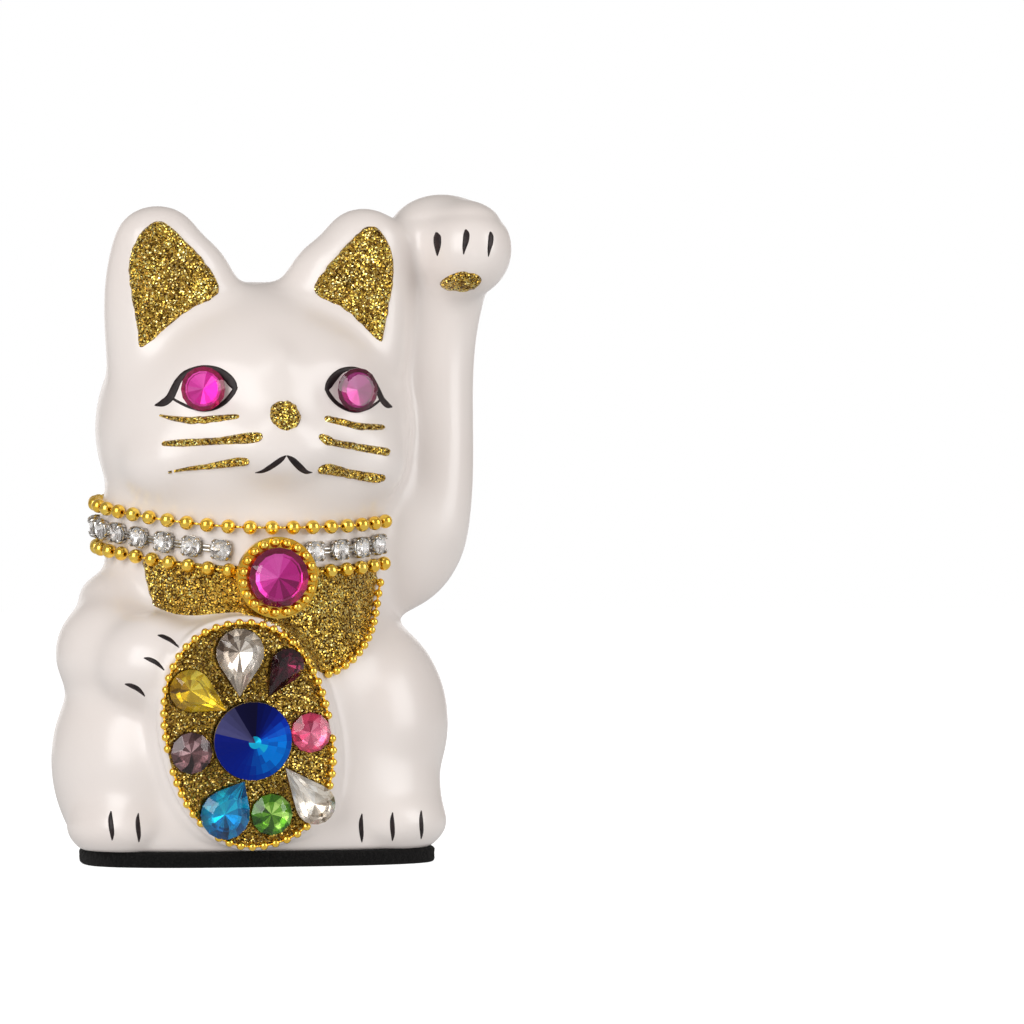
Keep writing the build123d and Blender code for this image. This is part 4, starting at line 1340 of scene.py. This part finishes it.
def make_cups(surface, silver, foil):
    """Cups that stand on the glaze, each turned towards its neighbour, with their claws and clear stones."""
    cups, stones, seats = Builder(), [], []
    for points in islands("cup_chain_cups"):
        spot, normal = surface.nearest(points.mean(axis=0))
        seats.append((spot + normal * CUP_LIFT, normal))
    for i, (spot, normal) in enumerate(seats):
        others = [other for other, _ in seats if other is not spot]
        near = min(others, key=lambda other: (other - spot).length)
        place = frame_at(spot, normal, near - spot)
        cups.lathe(place, in_mm(CUP), CUP_SIDES)
        for k in range(4):
            claw(cups, place, math.radians(45 + 90 * k))
        girdle = place @ Matrix.Translation((0, 0, CHATON_HEIGHT))
        gem = Stone(round_outline(CHATON_RADIUS, CHATON_SIDES), girdle)
        # Each chaton's painted light comes from a way of its own.
        gem.cut(*CHATON_CUT, facet_tones(CHATON_TONES, 60 + 47 * i, 0.22, 70 + i))
        stones.append(gem)
    finish_piece(cups.build("cup_chain_settings", silver), "silver_plate", "cup_chain_cups")
    clear = glass_material("chaton_front", (1, 1, 1))
    finish_piece(build_stones("cup_chain_chatons", stones, clear, foil), "clear_glass", "cup_chain_stones")


def make_strips(surface, silver):
    """Two thin strips side by side between each pair of cups."""
    bars = Builder()
    for points in islands("cup_chain_bars"):
        axis = main_axes(points)[0]
        spot, normal = surface.nearest(points.mean(axis=0))
        centre = spot + normal * STRIP_HEIGHT
        half = np.ptp(along_axis(points, axis)) / 2 + STRIP_REACH
        axis = (axis - normal * axis.dot(normal)).normalized()
        side = normal.cross(axis)
        for offset in (-STRIP_OFFSET, STRIP_OFFSET):
            ends = [centre + axis * half * s + side * offset for s in (-1, -0.5, 0, 0.5, 1)]
            bars.strip(ends, [side] * len(ends), STRIP_THICK, [STRIP_WIDTH] * len(ends))
    finish_piece(bars.build("cup_chain_strips", silver), "silver_plate", "cup_chain_bars")


# ---------------------------------------------------------------- felt pad
PAD_INNER = 15 * MM              # points of the underside nearer its middle than this aren't on its edge
PAD_COLUMNS = 720
PAD_ROWS = 12
PAD_TUCK = 0.5 * MM              # rounding of the pad's two edges
PAD_FUZZ = 0.16 * MM
PAD_GRAIN = (60, 60, 3)          # how fine the raggedness is, round the pad and up its side


def make_pad(mat):
    """Thick black felt with a soft, slightly ragged edge."""
    points, _ = node_mesh("base_pad")
    top = points[:, 2].max()
    rim = points[points[:, 2] < 1e-6][:, :2]
    middle = (rim.min(axis=0) + rim.max(axis=0)) / 2
    angles, reach = round_middle(rim, middle)
    edge = reach > PAD_INNER
    order = np.argsort(angles[edge])
    angles, reach = angles[edge][order], reach[edge][order]
    columns, rows = PAD_COLUMNS, PAD_ROWS
    verts, faces = [], []
    for k in range(columns):
        angle = -math.pi + 2 * math.pi * k / columns
        radius = np.interp(angle, angles, reach, period=2 * math.pi)
        for i in range(rows + 1):
            share = i / rows
            tuck = PAD_TUCK * (2 * share - 1) ** 6
            spot = Vector((math.cos(angle), math.sin(angle), share)) * Vector(PAD_GRAIN)
            fuzz = PAD_FUZZ * noise.fractal(spot, 1.0, 2.0, 3)
            out = radius - tuck + fuzz
            x, y = middle[0] + out * math.cos(angle), middle[1] + out * math.sin(angle)
            verts.append(Vector((x, y, top * share)))
    for k in range(columns):
        after = (k + 1) % columns
        for i in range(rows):
            a, b = k * (rows + 1) + i, after * (rows + 1) + i
            faces.append([a, b, b + 1, a + 1])
    faces.append([k * (rows + 1) for k in range(columns)][::-1])
    faces.append([k * (rows + 1) + rows for k in range(columns)])
    pad = new_object("felt_pad", verts, faces, [mat])
    turn_outward(pad)
    return finish_piece(pad, "black_felt", "base_pad")


# ---------------------------------------------------------------- build
def main():
    bpy.context.scene.view_settings.view_transform = "Standard"
    make_camera()
    for light in LIGHTS:
        area_light(*light)
    make_world()
    make_floor()
    gold = plate("gold_plate", 0.21, 260.0, (0.98, 0.60, 0.07), (1.0, 0.71, 0.13))
    silver = plate("silver_plate", 0.2, 300.0, (0.42, 0.40, 0.37), (0.72, 0.70, 0.67))
    foil = foil_material("gem_foil", 0.13)
    surface = Surface(make_skin(porcelain()))
    make_pad(black_felt())
    make_paint(surface, dark_paint())
    # One glitter in two copies: the patches' copy painted lighter, 1.25, and the plaque bed's painted darker,
    # 0.92.
    make_glitter(surface, gold_glitter("gold_glitter", 1.25))
    place = plaque_frame()
    make_bed(place, gold_glitter("gold_glitter_bed", 0.92))
    make_chain("plaque_chain", gold, sides=FINE_BALL_SIDES)
    make_chain("bib_chain", gold, surface, FINE_BALL_SIDES)
    make_chain("collar_upper", gold, surface)
    make_chain("collar_lower", gold, surface)
    make_cups(surface, silver, foil)
    make_strips(surface, silver)
    make_plaque_stones(place, foil)
    make_fuchsia_stones(foil_material("fuchsia_foil", 0.24))
    for node in ("pendant_setting", "pendant_bead_ring"):
        NODES[node].data.materials.clear()
        NODES[node].data.materials.append(gold)


main()
